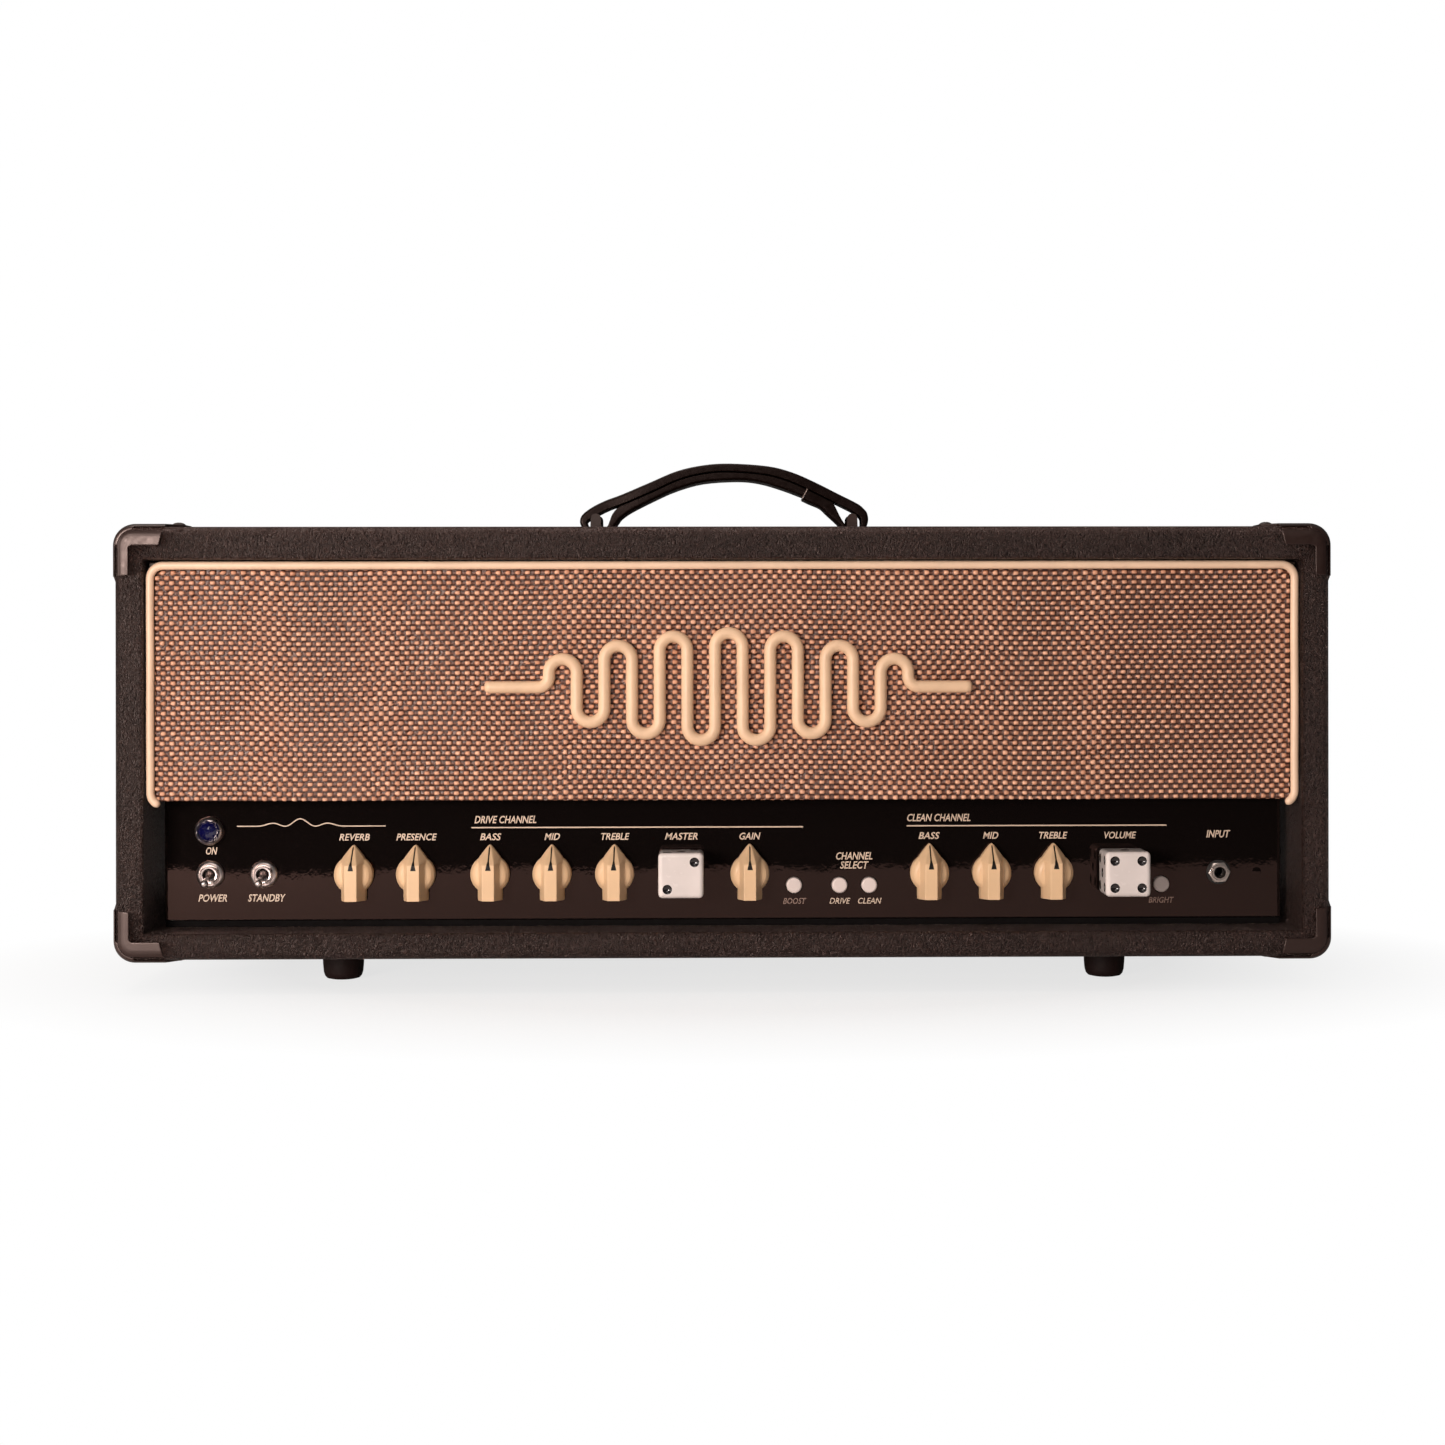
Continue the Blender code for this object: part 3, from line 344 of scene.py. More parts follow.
def make_covering(name, painted_valley_shade, low, high):
    """Grained vinyl: short squiggly ridges over fine pebbles, stretched smooth at the front's top edge. The
    valleys between the ridges are painted dark as shade, and a paler reddish band at the front's top edge
    is a painted highlight.
    """
    g = Graph(name, specular_ior_level=0.72, specular_tint=(1.0, 0.75, 0.69))
    fine = g.noise(1500, 3.0)
    pebbles = g.cells(830, "SMOOTH_F1")
    warped = g.noise(1.0, 2.0, 0.5, g.stretched((430, 430, 270)), 1.6)
    off_middle = g.math("ABSOLUTE", g.math("SUBTRACT", warped, 0.5))
    ridges = g.fit(g.math("SUBTRACT", 1.0, g.math("MULTIPLY", off_middle, 7.0)), 0.0, 1.0)
    # Along the front's top edge the grain is smoothed as stretched vinyl, and the same band is lightened
    # below as a painted highlight.
    near_top = g.fit(g.axis("Z"), TOP_Z - 0.0055, TOP_Z - 0.0015)
    near_front = g.fit(g.axis("Y"), FRONT_Y + 0.012, FRONT_Y + 0.004)
    smoothing_and_painted_highlight = g.math("MULTIPLY", near_top, near_front)
    grain = g.math("ADD", g.math("MULTIPLY", pebbles, 0.8), g.math("MULTIPLY", fine, 0.3))
    height = g.math("ADD", grain, ridges)
    height = g.math("MULTIPLY", height, g.fit(smoothing_and_painted_highlight, 0.0, 1.0, 1.0, 0.35))
    slow = g.fit(g.noise(20, 2.0), 0.35, 0.65, 0.35, 0.65)
    tone = g.math("ADD", slow, g.fit(fine, 0.35, 0.65, -0.35, 0.35))
    colour = g.mix(g.fit(tone, 0.0, 1.0), low, high)
    # Painted shade: between the ridges the colour falls nearly to black, standing in for shade in the
    # grain's valleys.
    colour = g.mix(g.fit(ridges, 0.0, 0.7, 0.9, 0.0), colour, painted_valley_shade)
    # Painted highlight: a paler reddish band along the front's top edge, where light from above catches the
    # rounded edge.
    colour = g.mix(g.math("MULTIPLY", smoothing_and_painted_highlight, 0.7), colour, (0.040, 0.015, 0.011))
    rough = g.fit(g.noise(700, 2.0), 0.3, 0.7, 0.27, 0.37)
    return g.done(base_color=colour, roughness=rough, normal=g.bump(height, 0.0024))


def make_moulded(name, colour, roughness=0.4, grain=0.00003, scale=1600, scuff=0.0, **settings):
    """Moulded plastic, rubber or paint: a faint grain, slow changes of tone and a few scuffs."""
    g = Graph(name, **settings)
    slow = g.fit(g.noise(45, 3.0), 0.3, 0.7)
    shade = tuple(c * 0.86 for c in colour)
    base = g.mix(slow, shade, colour)
    if scuff:
        marks = g.fit(g.noise(1.0, 4.0, 0.7, g.stretched((240, 900, 240))), 0.62, 0.75, 0.0, scuff)
        base = g.mix(marks, base, tuple(min(1.0, 2.4 * c + 0.02) for c in colour))
    rough = g.fit(g.noise(320, 3.0), 0.3, 0.7, roughness - 0.07, roughness + 0.07)
    return g.done(base_color=base, roughness=rough, normal=g.bump(g.noise(scale, 2.0), grain))


def make_metal(name, colour, roughness=0.2, streak=(300, 300, 300), spread=0.08, **settings):
    """Bare or plated metal with rubbed streaks in its gloss."""
    g = Graph(name, metallic=1.0, **settings)
    rubbed = g.noise(1.0, 4.0, 0.65, g.stretched(streak))
    base = g.mix(g.fit(rubbed, 0.3, 0.7), tuple(0.86 * c for c in colour), colour)
    rough = g.fit(rubbed, 0.3, 0.7, roughness - spread / 2, roughness + spread)
    return g.done(base_color=base, roughness=rough, normal=g.bump(rubbed, 0.00001))


def make_cloth():
    """Woven grille cloth. The mesh says how much pale weft shows at each point, and each knot's tint."""
    g = Graph("grille_weave", roughness=0.36, specular_ior_level=1.0, specular_tint=(1.0, 0.92, 0.88))
    thread, tint = g.attribute("thread"), g.attribute("tint")
    fibres = g.noise(1.0, 3.0, 0.6, g.stretched((900, 900, 3200)))
    pale = g.mix(tint, (0.70, 0.32, 0.18), (0.96, 0.52, 0.325))
    middle = g.mix(tint, (0.17, 0.055, 0.028), (0.24, 0.085, 0.044))
    colour = g.mix(g.fit(thread, 0.14, 0.62), (0.026, 0.007, 0.004), middle)
    colour = g.mix(g.fit(thread, 0.55, 0.92), colour, pale)
    colour = g.mix(g.fit(fibres, 0.35, 0.7, 0.22, 0.0), colour, (0.12, 0.045, 0.025))
    return g.done(base_color=colour, normal=g.bump(fibres, 0.00016))


def make_panel_gloss():
    """Lacquer: black and glossy, with the slight waviness that shows in its reflections."""
    g = Graph(
        "panel_lacquer", base_color=(0.0042, 0.0030, 0.0028), ior=1.5,
        specular_tint=(1.0, 0.60, 0.52)
    )
    swell = g.math("MULTIPLY", g.noise(9, 2.0, 0.5), 0.0003)
    orange_peel = g.math("MULTIPLY", g.noise(200, 3.0), 0.00002)
    waves = g.math("ADD", swell, orange_peel)
    dust = g.fit(g.noise(2600, 1.0), 0.68, 0.78, 0.0, 0.25)
    rough = g.math("ADD", g.fit(g.noise(60, 3.0), 0.3, 0.7, 0.015, 0.035), dust)
    return g.done(roughness=rough, normal=g.bump(waves, 1.0))


def make_wood():
    g = Graph("stained_ply", roughness=0.6)
    rings = g.noise(1.0, 5.0, 0.6, g.stretched((30, 400, 400)), 0.6)
    colour = g.mix(g.fit(rings, 0.3, 0.7), (0.020, 0.012, 0.008), (0.060, 0.038, 0.024))
    return g.done(base_color=colour, normal=g.bump(rings, 0.0001))


def make_laminations():
    """The edges of a transformer's stacked steel sheets."""
    g = Graph("steel_laminations", metallic=0.6)
    stack = g.math("SINE", g.math("MULTIPLY", g.axis("Y"), 2 * math.pi / 0.0010))
    patches = g.noise(60, 4.0)
    colour = g.mix(g.fit(patches, 0.35, 0.7), (0.012, 0.012, 0.013), (0.045, 0.043, 0.042))
    rough = g.fit(patches, 0.3, 0.7, 0.35, 0.6)
    return g.done(base_color=colour, roughness=rough, normal=g.bump(stack, 0.0002))


def make_board():
    """A green circuit board with paler copper tracks."""
    g = Graph("circuit_board_green", roughness=0.35)
    tracks = g.fit(g.cells(170, "DISTANCE_TO_EDGE"), 0.03, 0.06)
    colour = g.mix(tracks, (0.055, 0.19, 0.07), (0.012, 0.07, 0.025))
    return g.done(base_color=colour, normal=g.bump(tracks, 0.00005, -1.0))


def make_glass():
    g = Graph("clear_glass", base_color=(0.95, 0.97, 0.96), transmission_weight=1.0, ior=1.46)
    smears = g.fit(g.noise(70, 3.0), 0.45, 0.7, 0.01, 0.05)
    return g.done(roughness=smears)


def make_materials():
    cream = (0.84, 0.56, 0.33)
    return {
        # The covering's first colour is the painted shade of the grain's valleys.
        "covering": make_covering("vinyl_covering_grain", (0.001, 0.0004, 0.0003), (0.010, 0.0042, 0.0032),
                                  (0.050, 0.025, 0.0200)),
        "corner": make_moulded("corner_plastic_brown", (0.018, 0.0075, 0.0056), 0.40, 0.00002, scuff=0.25,
                               specular_ior_level=0.65, specular_tint=(1.0, 0.80, 0.75)),
        "rubber": make_moulded(
            "rubber_black", (0.012, 0.0045, 0.0040), 0.62, 0.00006, specular_ior_level=0.2
        ),
        "skin": make_moulded("handle_leatherette", (0.0050, 0.0021, 0.0016), 0.36, 0.00007, 1100, 0.2,
                             specular_ior_level=0.17, specular_tint=(1.0, 0.75, 0.7)),
        "cut_edge": make_moulded("strap_cut_edge", (0.36, 0.26, 0.22), 0.7),
        "black_paint": make_moulded("bracket_paint", (0.032, 0.015, 0.011), 0.45, 0.00005, 2200, 0.3,
                                    specular_ior_level=0.3),
        "cloth": make_cloth(),
        "piping": make_moulded("cream_piping_vinyl", (0.90, 0.63, 0.44), 0.42, 0.00004, 900, 0.05),
        "emblem": make_moulded("cream_emblem_plastic", (0.82, 0.555, 0.355), 0.45, 0.00003),
        "panel": make_panel_gloss(),
        "ink": make_moulded("legend_ink", (0.72, 0.55, 0.42), 0.5),
        "dim_ink": make_moulded("legend_ink_dim", (0.30, 0.19, 0.15), 0.5),
        "knob": make_moulded("knob_cream_plastic", cream, 0.38, 0.00002, specular_ior_level=0.4),
        "pointer": make_moulded("pointer_black_paint", (0.012, 0.008, 0.007), 0.35),
        "die": make_moulded("die_white_plastic", (0.80, 0.715, 0.68), 0.22, 0.000008, coat_weight=0.4),
        "pip": make_moulded("die_pip_black", (0.012, 0.008, 0.008), 0.12, 0.000008, coat_weight=0.6),
        "button": make_moulded("button_grey_plastic", (0.84, 0.71, 0.66), 0.35, 0.00001),
        "jewel": make_moulded("jewel_blue_glass", (0.004, 0.004, 0.050), 0.10, 0.0, coat_weight=1.0),
        "chrome": make_metal("chrome_plate", (0.76, 0.66, 0.63), 0.28),
        "nickel": make_metal("nickel_plate", (0.72, 0.62, 0.57), 0.27, (140, 140, 140)),
        "steel": make_metal("zinc_sheet", (0.55, 0.54, 0.50), 0.34, (14, 14, 500), 0.14),
        "aluminium": make_metal("spun_aluminium", (0.68, 0.68, 0.68), 0.3, (60, 60, 1400)),
        "brass": make_metal("brass", (0.72, 0.52, 0.24), 0.28, (600, 600, 600)),
        "dark_metal": make_metal("tube_plate_grey", (0.10, 0.10, 0.105), 0.5, (300, 300, 900)),
        "foam": make_moulded("foam_strip_black", (0.004, 0.003, 0.003), 0.85, 0.0002, 1400,
                             specular_ior_level=0.1),
        "black_plastic": make_moulded("socket_black_plastic", (0.014, 0.013, 0.013), 0.45, 0.00004),
        "enamel": make_moulded("transformer_enamel", (0.013, 0.012, 0.012), 0.3, 0.00004, 700),
        "laminations": make_laminations(),
        "wood": make_wood(),
        "board": make_board(),
        "glass": make_glass(),
    }


# ---------------------------------------------------------------- cabinet


def sleeve_sections(steps=8):
    """The board's cross-section as rings round the cabinet: outside, over the front, back inside."""
    edge, inner_edge = EDGE_RADIUS, INNER_EDGE_RADIUS
    inner_half = HALF_WIDTH - SIDE_BOARD
    floor, ceiling = BASE_Z + BOTTOM_BOARD, TOP_Z - TOP_BOARD

    def outside(inset, y):
        size = (HALF_WIDTH - inset, BASE_Z + inset, TOP_Z - inset, CORNER_RADIUS - inset)
        return [(x, y, z) for x, z in rounded_outline(*size, steps)]

    def inside(out, y):
        size = (inner_half + out, floor - out, ceiling + out, 0.001 + out)
        return [(x, y, z) for x, z in rounded_outline(*size, steps)]

    def turns(count):
        return [math.pi / 2 * i / count for i in range(count + 1)]

    front = [outside(edge * (1 - math.cos(t)), FRONT_Y + edge * (1 - math.sin(t))) for t in turns(6)]
    front += [
        inside(
            inner_edge * (1 - math.sin(t)), FRONT_Y + inner_edge * (1 - math.cos(t))
        ) for t in turns(3)
    ]
    back = [[(x, FRONT_Y + BACK_Y - y, z) for x, y, z in ring] for ring in reversed(front)]
    return front + back


def make_sleeve(mats):
    piece(
        "covered_sleeve",
        loft(sleeve_sections(), closed=True),
        mats["covering"],
        replaces=["cabinet_sleeve"],
        smooth=35,
    )
    make_mitre_seams(mats["covering"])


def make_mitre_seams(mat):
    """The covering butts from each inner corner outwards: a low ridge on the front and back face."""
    section = [(-0.0005, 0), (0.0005, 0), (0.0003, 0.00016), (-0.0003, 0.00016)]
    shapes = []
    for x_sign in (-1, 1):
        for level, inward in ((BASE_Z + BOTTOM_BOARD, -1), (TOP_Z - TOP_BOARD, 1)):
            start = (x_sign * (HALF_WIDTH - SIDE_BOARD + 0.001), level + inward * 0.001)
            path = [
                (
                    start[0] + x_sign * 0.0085 * k + 0.0003 * math.sin(7 * k),
                    start[1] + inward * 0.0085 * k
                )
                for k in (0, 0.25, 0.5, 0.75, 1)
            ]
            for turn, y in ((FRONT, FRONT_Y), (BACK, BACK_Y)):
                flipped = [(px, pz if turn is FRONT else -pz) for px, pz in path]
                shapes.append(moved(swept(flipped, section), at(0, y, 0, turn)))
    piece("covering_seams", joined(shapes), mat)


def grown_block(grow, forward, edge=EDGE_RADIUS):
    """The sleeve's outside as a closed solid, grown sideways and forward, with its own edge radius."""
    rings = []
    for y_end, inward in ((FRONT_Y, 1), (BACK_Y, -1)):
        turns = [math.pi / 2 * i / 6 for i in range(7)]
        for t in turns if inward == 1 else reversed(turns):
            inset = edge * (1 - math.sin(t)) - grow
            y = y_end + inward * (edge * (1 - math.cos(t)) - forward)
            size = (HALF_WIDTH - inset, BASE_Z + inset, TOP_Z - inset, CORNER_RADIUS - inset)
            rings.append([(x, y, z) for x, z in rounded_outline(*size, 10)])
    return loft(rings)


def tab_outline():
    """A flange seen square on, from the corner: it widens backwards to take its screw."""
    far, arm, wide, depth, radius = 0.02, 0.0280, 0.0360, 0.0380, 0.0050
    points = [(-far, -far), (arm, -far), (arm, 0.0060)]
    points += arc((wide - 0.004, 0.0185), 0.004, -40, 0, 4)
    points += arc((wide - radius, depth - radius), radius, 0, 90, 8)
    return [*points, (-far, depth)]


def make_corner_mesh():
    """The protector at the right, front and top, from the point where the three faces would meet."""
    proud, forward = 0.0018, 0.0011
    corner_x, corner_y, corner_z = HALF_WIDTH, FRONT_Y, TOP_Z
    arm_side, arm_top, far = 0.0083, 0.0106, 0.02
    shell = solve(grown_block(proud, forward, 0.0075), ("DIFFERENCE", grown_block(0.0001, 0.0001)))
    # Front: an L with a small inner radius and slanted ends
    front = [(-far, -far), (0.0285, -far), (0.0280, 0), (0.0253, arm_top)]
    front += arc((arm_side + 0.0022, arm_top + 0.0022), 0.0022, 270, 180, 5)
    front += [(arm_side, 0.0272), (0, 0.0282), (-far, 0.0290)]
    front_bit = prism([(corner_x - u, corner_z - v) for u, v in front], far, 0)
    moved(front_bit, at(0, corner_y, 0, FRONT))
    top_bit = prism([(corner_x - u, corner_y + v) for u, v in tab_outline()], 0, far)
    moved(top_bit, at(0, 0, corner_z))
    side_bit = prism([(corner_y + v, corner_z - u) for u, v in tab_outline()], 0, far)
    moved(side_bit, Matrix(((0, 0, 1, corner_x), (1, 0, 0, 0), (0, 1, 0, 0), (0, 0, 0, 1))))
    keep_low = (corner_x - 0.0105, corner_y + 0.0012, corner_z - 0.0105)
    keep_high = (corner_x + far, corner_y + 0.0380, corner_z + far)
    keep = box_mesh(keep_low, keep_high)
    region = solve(front_bit, ("UNION", top_bit), ("UNION", side_bit), ("UNION", keep))
    return shell, region


def make_corners(mats):
    shell, region = make_corner_mesh()
    first, second = bmesh.new(), bmesh.new()
    first.from_mesh(shell)
    second.from_mesh(region)
    mesh = softened(solve(first, ("INTERSECT", second)), mats["corner"], 0.00042, 3, 0.22)
    middle = (TOP_Z + BASE_Z) / 2
    screws = []
    for end, flip_y in (("front", 1), ("back", -1)):
        for level, flip_z in (("top", 1), ("bottom", -1)):
            for side, flip_x in (("right", 1), ("left", -1)):
                copy = mesh.copy()
                mirror = Matrix.Diagonal((flip_x, flip_y, flip_z, 1))
                lift = Matrix.Translation((0, 0, middle))
                copy.transform(lift @ mirror @ lift.inverted())
                if flip_x * flip_y * flip_z < 0:
                    copy.flip_normals()
                node = f"corner_{end}_{level}_{side}"
                name = f"protector_{end}_{level}_{side}"
                piece(name, copy, mats["corner"], replaces=[node], smooth=60)
                y = flip_y * (FRONT_Y + 0.0275)
                z = middle + flip_z * (TOP_Z + 0.0012 - middle)
                screws.append(at(flip_x * (HALF_WIDTH - 0.0299), y, z, UP if flip_z > 0 else DOWN))
                z = middle + flip_z * (TOP_Z - 0.0285 - middle)
                screws.append(at(flip_x * (HALF_WIDTH + 0.0012), y, z, RIGHT if flip_x > 0 else LEFT))
    dome = [pan_head(0.0040, 0.0024, place, 0.3 * i) for i, place in enumerate(screws)]
    piece("protector_screws", joined(dome), mats["black_paint"], smooth=30)


def pan_head(radius, height, place=UP, turn=0.0, washer=0.0):
    """A domed screw head with a cross recess, standing on z = 0."""
    profile = [(0, -0.0006), (radius * 0.98, -0.0006), (radius, 0.0003)]
    for i in range(1, 7):
        t = math.pi / 2 * i / 6
        profile.append((radius * math.cos(t) if i < 6 else 0, 0.0003 + (height - 0.0003) * math.sin(t)))
    head = turned(profile, 28)
    if washer:
        ring = [
            (radius * 0.9, 0), (washer, 0), (washer, 0.0004), (radius * 1.05, 0.0011),
            (radius * 0.9, 0.0011)
        ]
        head = joined([head, turned([*ring, ring[0]], 28)])
    arm, blade = radius * 0.55, radius * 0.11
    slots = [box_mesh((-arm, -blade, height * 0.45), (arm, blade, height * 2))]
    slots.append(box_mesh((-blade, -arm, height * 0.45), (blade, arm, height * 2)))
    cross = solve(slots[0], ("UNION", slots[1]))
    cutter = bmesh.new()
    cutter.from_mesh(cross)
    result = bmesh.new()
    result.from_mesh(solve(head, ("DIFFERENCE", cutter)))
    return moved(result, place @ Matrix.Rotation(turn, 4, "Z"))


def make_feet(mats):
    profile = [(0, 0.0034), (0.0036, 0.0034), (0.0036, 0.0006), (0.0042, 0), (0.0074, 0)]
    profile += [
        (0.0095, 0.0005), (0.0107, 0.0018), (0.0114, 0.0040), (0.0118, 0.0085), (0.0120, 0.0130)
    ]
    profile += [(0.0119, 0.0172), (0.0115, 0.0187), (0, 0.0187)]
    for end in ("front", "back"):
        for side in ("left", "right"):
            low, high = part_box(f"foot_{end}_{side}")
            centre = (low + high) / 2
            place = at(centre.x, centre.y, 0)
            name = f"rubber_foot_{end}_{side}"
            piece(name, turned(profile, 40), mats["rubber"], place=place,
                  replaces=[f"foot_{end}_{side}"], smooth=50)
            head = pan_head(0.0032, 0.0012, at(centre.x, centre.y, 0.0034, DOWN), 0.4)
            piece(f"foot_screw_{end}_{side}", head, mats["nickel"], smooth=30)


# ---------------------------------------------------------------- handle

BRACKET_LOW, BRACKET_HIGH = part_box("handle_bracket_right")
BAR_X = (BRACKET_LOW.x + BRACKET_HIGH.x) / 2
BAR_Z = TOP_Z + 0.0100
STRAP_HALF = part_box("handle_strap")[1].y


# The strap's outer contour in millimetres: x, and height above the cabinet. It starts at the slit under
# the grip, runs left along the underside, round the left loop, over the top, round the right loop and
# back up its leg to the slit.
STRAP_UNDER = [(48.0, 23.3), (35.2, 28.1), (21.6, 32.0), (8.0, 33.3), (-12.9, 31.9), (-29.3, 27.3)]
STRAP_UNDER += [(-42.4, 21.5), (-55.6, 14.8), (-62.2, 10.3), (-64.9, 6.7), (-68.0, 3.2), (-72.5, 1.0)]
STRAP_UNDER += [(-77.8, 0.5), (-83.5, 1.8), (-87.0, 5.5)]
STRAP_TOP = [(-88.0, 9.0), (-86.4, 12.9), (-80.6, 17.4), (-72.2, 21.6), (-62.4, 25.2), (-45.6, 32.3)]
STRAP_TOP += [(-28.8, 39.4), (-12.6, 43.0), (3.6, 44.0), (26.6, 42.4), (41.3, 38.7), (54.7, 33.0)]
STRAP_TOP += [(69.4, 25.7), (81.5, 19.6), (85.5, 16.3), (87.5, 13.6), (88.1, 8.9)]
STRAP_LEG = [
    (86.0, 3.5), (81.5, 0.9), (77.5, 0.4), (73.0, 2.2), (68.9, 6.9), (62.4, 12.9), (58.4, 16.6)
]
STRAP_LEG += [(52.2, 19.3), (47.4, 21.6)]
SLIT = np.array((0.483, 0.875))


def eased(share):
    share = min(1.0, max(0.0, share))
    return share * share * (3 - 2 * share)


def through(points, steps):
    """A smooth path through the points, with as many steps between each pair."""
    path = [np.array(point) for point in points]
    path = [2 * path[0] - path[1], *path, 2 * path[-1] - path[-2]]
    made = []
    for a, b, c, d in zip(path, path[1:], path[2:], path[3:]):
        for k in range(steps):
            t = k / steps
            curve = 2 * b + (c - a) * t + (
                2 * a - 5 * b + 4 * c - d
            ) * t**2 + (3 * b - a - 3 * c + d) * t**3
            made.append(curve / 2)
    return [*made, path[-2]]


def reach(point, direction, line):
    """How far a ray goes before it meets a line of points."""
    for a, b in zip(line, line[1:]):
        span = b - a
        across = direction[0] * span[1] - direction[1] * span[0]
        if abs(across) < 1e-9:
            continue
        offset = a - point
        along = (offset[0] * span[1] - offset[1] * span[0]) / across
        share = (offset[0] * direction[1] - offset[1] * direction[0]) / across
        if along > 0 and 0 <= share <= 1:
            return along
    return None


def strap_layers():
    """The contour's points, the inward direction at each, and the strip's thickness there."""
    path = through(STRAP_UNDER + STRAP_TOP + STRAP_LEG, 4)
    inward = []
    for i, _ in enumerate(path):
        along = path[min(i + 1, len(path) - 1)] - path[max(i - 1, 0)]
        inward.append(np.array((along[1], -along[0])) / np.hypot(*along))
    inward[0] = inward[-1] = SLIT
    thickness = [
        5.4 + 0.9 * eased(abs(x) / 60) if abs(x) < 60 else 4.4 + 1.9 * eased(
            (z - 3) / 16
        ) for x, z in path
    ]
    first, last = 4 * len(STRAP_UNDER), 4 * (len(STRAP_UNDER) + len(STRAP_TOP) - 1)
    ceiling = [path[i] + inward[i] * thickness[i] for i in range(first, last + 1)]
    for i, point in enumerate(path):
        if first <= i <= last:
            continue
        gap = reach(point, inward[i], ceiling) if abs(point[0]) < 60 else None
        full = 7.0 if point[0] < 0 else 8.0
        thin = 3.8 if abs(point[0]) < 82 else 3.8 + 1.2 * eased((point[1] - 3) / 6)
        thickness[i] = min(gap, 8.5) if gap else full + (thin - full) * eased((abs(point[0]) - 60) / 11)
    return path, inward, thickness


def make_handle(mats):
    """One padded strip, folded round both bars, whose ends meet at a slit under the grip."""
    path, inward, thickness = strap_layers()
    rings = []
    for point, normal, thick in zip(path, inward, thickness):
        middle = (point + normal * thick / 2) / 1000
        half_width = STRAP_HALF - 0.0015 * eased((abs(point[0]) - 45) / 30)
        rings.append(strip_ring((middle[0], TOP_Z + middle[1]), -normal, half_width, thick / 2000))
    strip = loft(rings)
    piece(
        "strap_skin", strip, mats["skin"], "handle", replaces=["handle_strap"],
        smooth=60
    )
    make_cut_edge(mats["cut_edge"])
    for side, sign in (("left", -1), ("right", 1)):
        make_bracket(side, sign, mats)


def strip_ring(middle, outward, half_width, half_thick, steps=5):
    """A section across the strap: flat sides, round corners and slightly crowned faces."""
    crown = 0.00035
    half_thick -= crown
    points = []
    for side, face, start in ((1, -1, -90), (1, 1, 0), (-1, 1, 90), (-1, -1, 180)):
        corner = 0.0017 if face > 0 else 0.0006
        points += arc(
            (side * (half_width - corner), face * (half_thick - corner)), corner, start, start + 90,
            steps
        )
        if side * face > 0:
            level = face * half_thick
            points += [
                (side * half_width * k, level + face * crown * (1 - k * k))
                for k in (0.5, 0.0, -0.5)
            ]
    return [(middle[0] + outward[0] * n, y, middle[1] + outward[1] * n) for y, n in points]


def make_cut_edge(mat):
    """The pale core that shows at the slit, where the strip was cut."""
    low, high, half_width, half_thick = np.array((47.5, 22.4)), 6.6, STRAP_HALF + 0.00004, 0.25
    across = np.array((SLIT[1], -SLIT[0])) * half_thick
    corners = [low - across, low + across, low + SLIT * high + across, low + SLIT * high - across]
    outline = [(x / 1000, TOP_Z + z / 1000) for x, z in corners]
    edge = moved(prism(outline, -half_width, half_width), at(0, 0, 0, FRONT))
    piece("strap_cut_edge", edge, mat, "handle")


def make_bracket(side, sign, mats):
    """The bar, its two ears with their feet bent outwards, and the screws that hold them."""
    x = sign * BAR_X
    foot_z = TOP_Z + GAP
    inner, thick = STRAP_HALF + 0.0006, 0.0020
    foot_low, foot_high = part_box(f"handle_bracket_{side}")
    bar = moved(
        turned([(0, -inner), (0.0025, -inner), (0.0025, inner), (0, inner)], 24),
        at(x, 0, BAR_Z, FRONT)
    )
    shapes = []
    for end in (-1, 1):
        ear = arc((0, 0), 0.0031, 0, 180, 10) + [(-0.0034, foot_z - BAR_Z), (0.0034, foot_z - BAR_Z)]
        near, far = sorted((end * inner, end * (inner + thick)))
        shapes.append(moved(prism(ear, near, far), at(x, 0, BAR_Z, FRONT)))
        y_low, y_high = sorted((-end * inner, -end * foot_high.y))
        foot = rounded_outline((foot_high.x - foot_low.x) / 2, y_low, y_high, 0.003, 5)
        shapes.append(moved(prism(foot, 0, 0.0018), at(x, 0, foot_z)))
    mesh = dressed(solve(bar, *[("UNION", bm) for bm in shapes]), mats["black_paint"])
    piece(f"strap_bracket_{side}", mesh, mats["black_paint"],
          replaces=[f"handle_bracket_{side}"], smooth=35, bevel=0.0004)
    heads = [pan_head(0.0032, 0.0016, at(x, end * 0.0200, foot_z + 0.0018), end) for end in (-1, 1)]
    piece(f"bracket_screws_{side}", joined(heads), mats["black_paint"], smooth=30)


# ---------------------------------------------------------------- grille

COLUMN_PITCH, ROW_PITCH = 0.00275, 0.00281


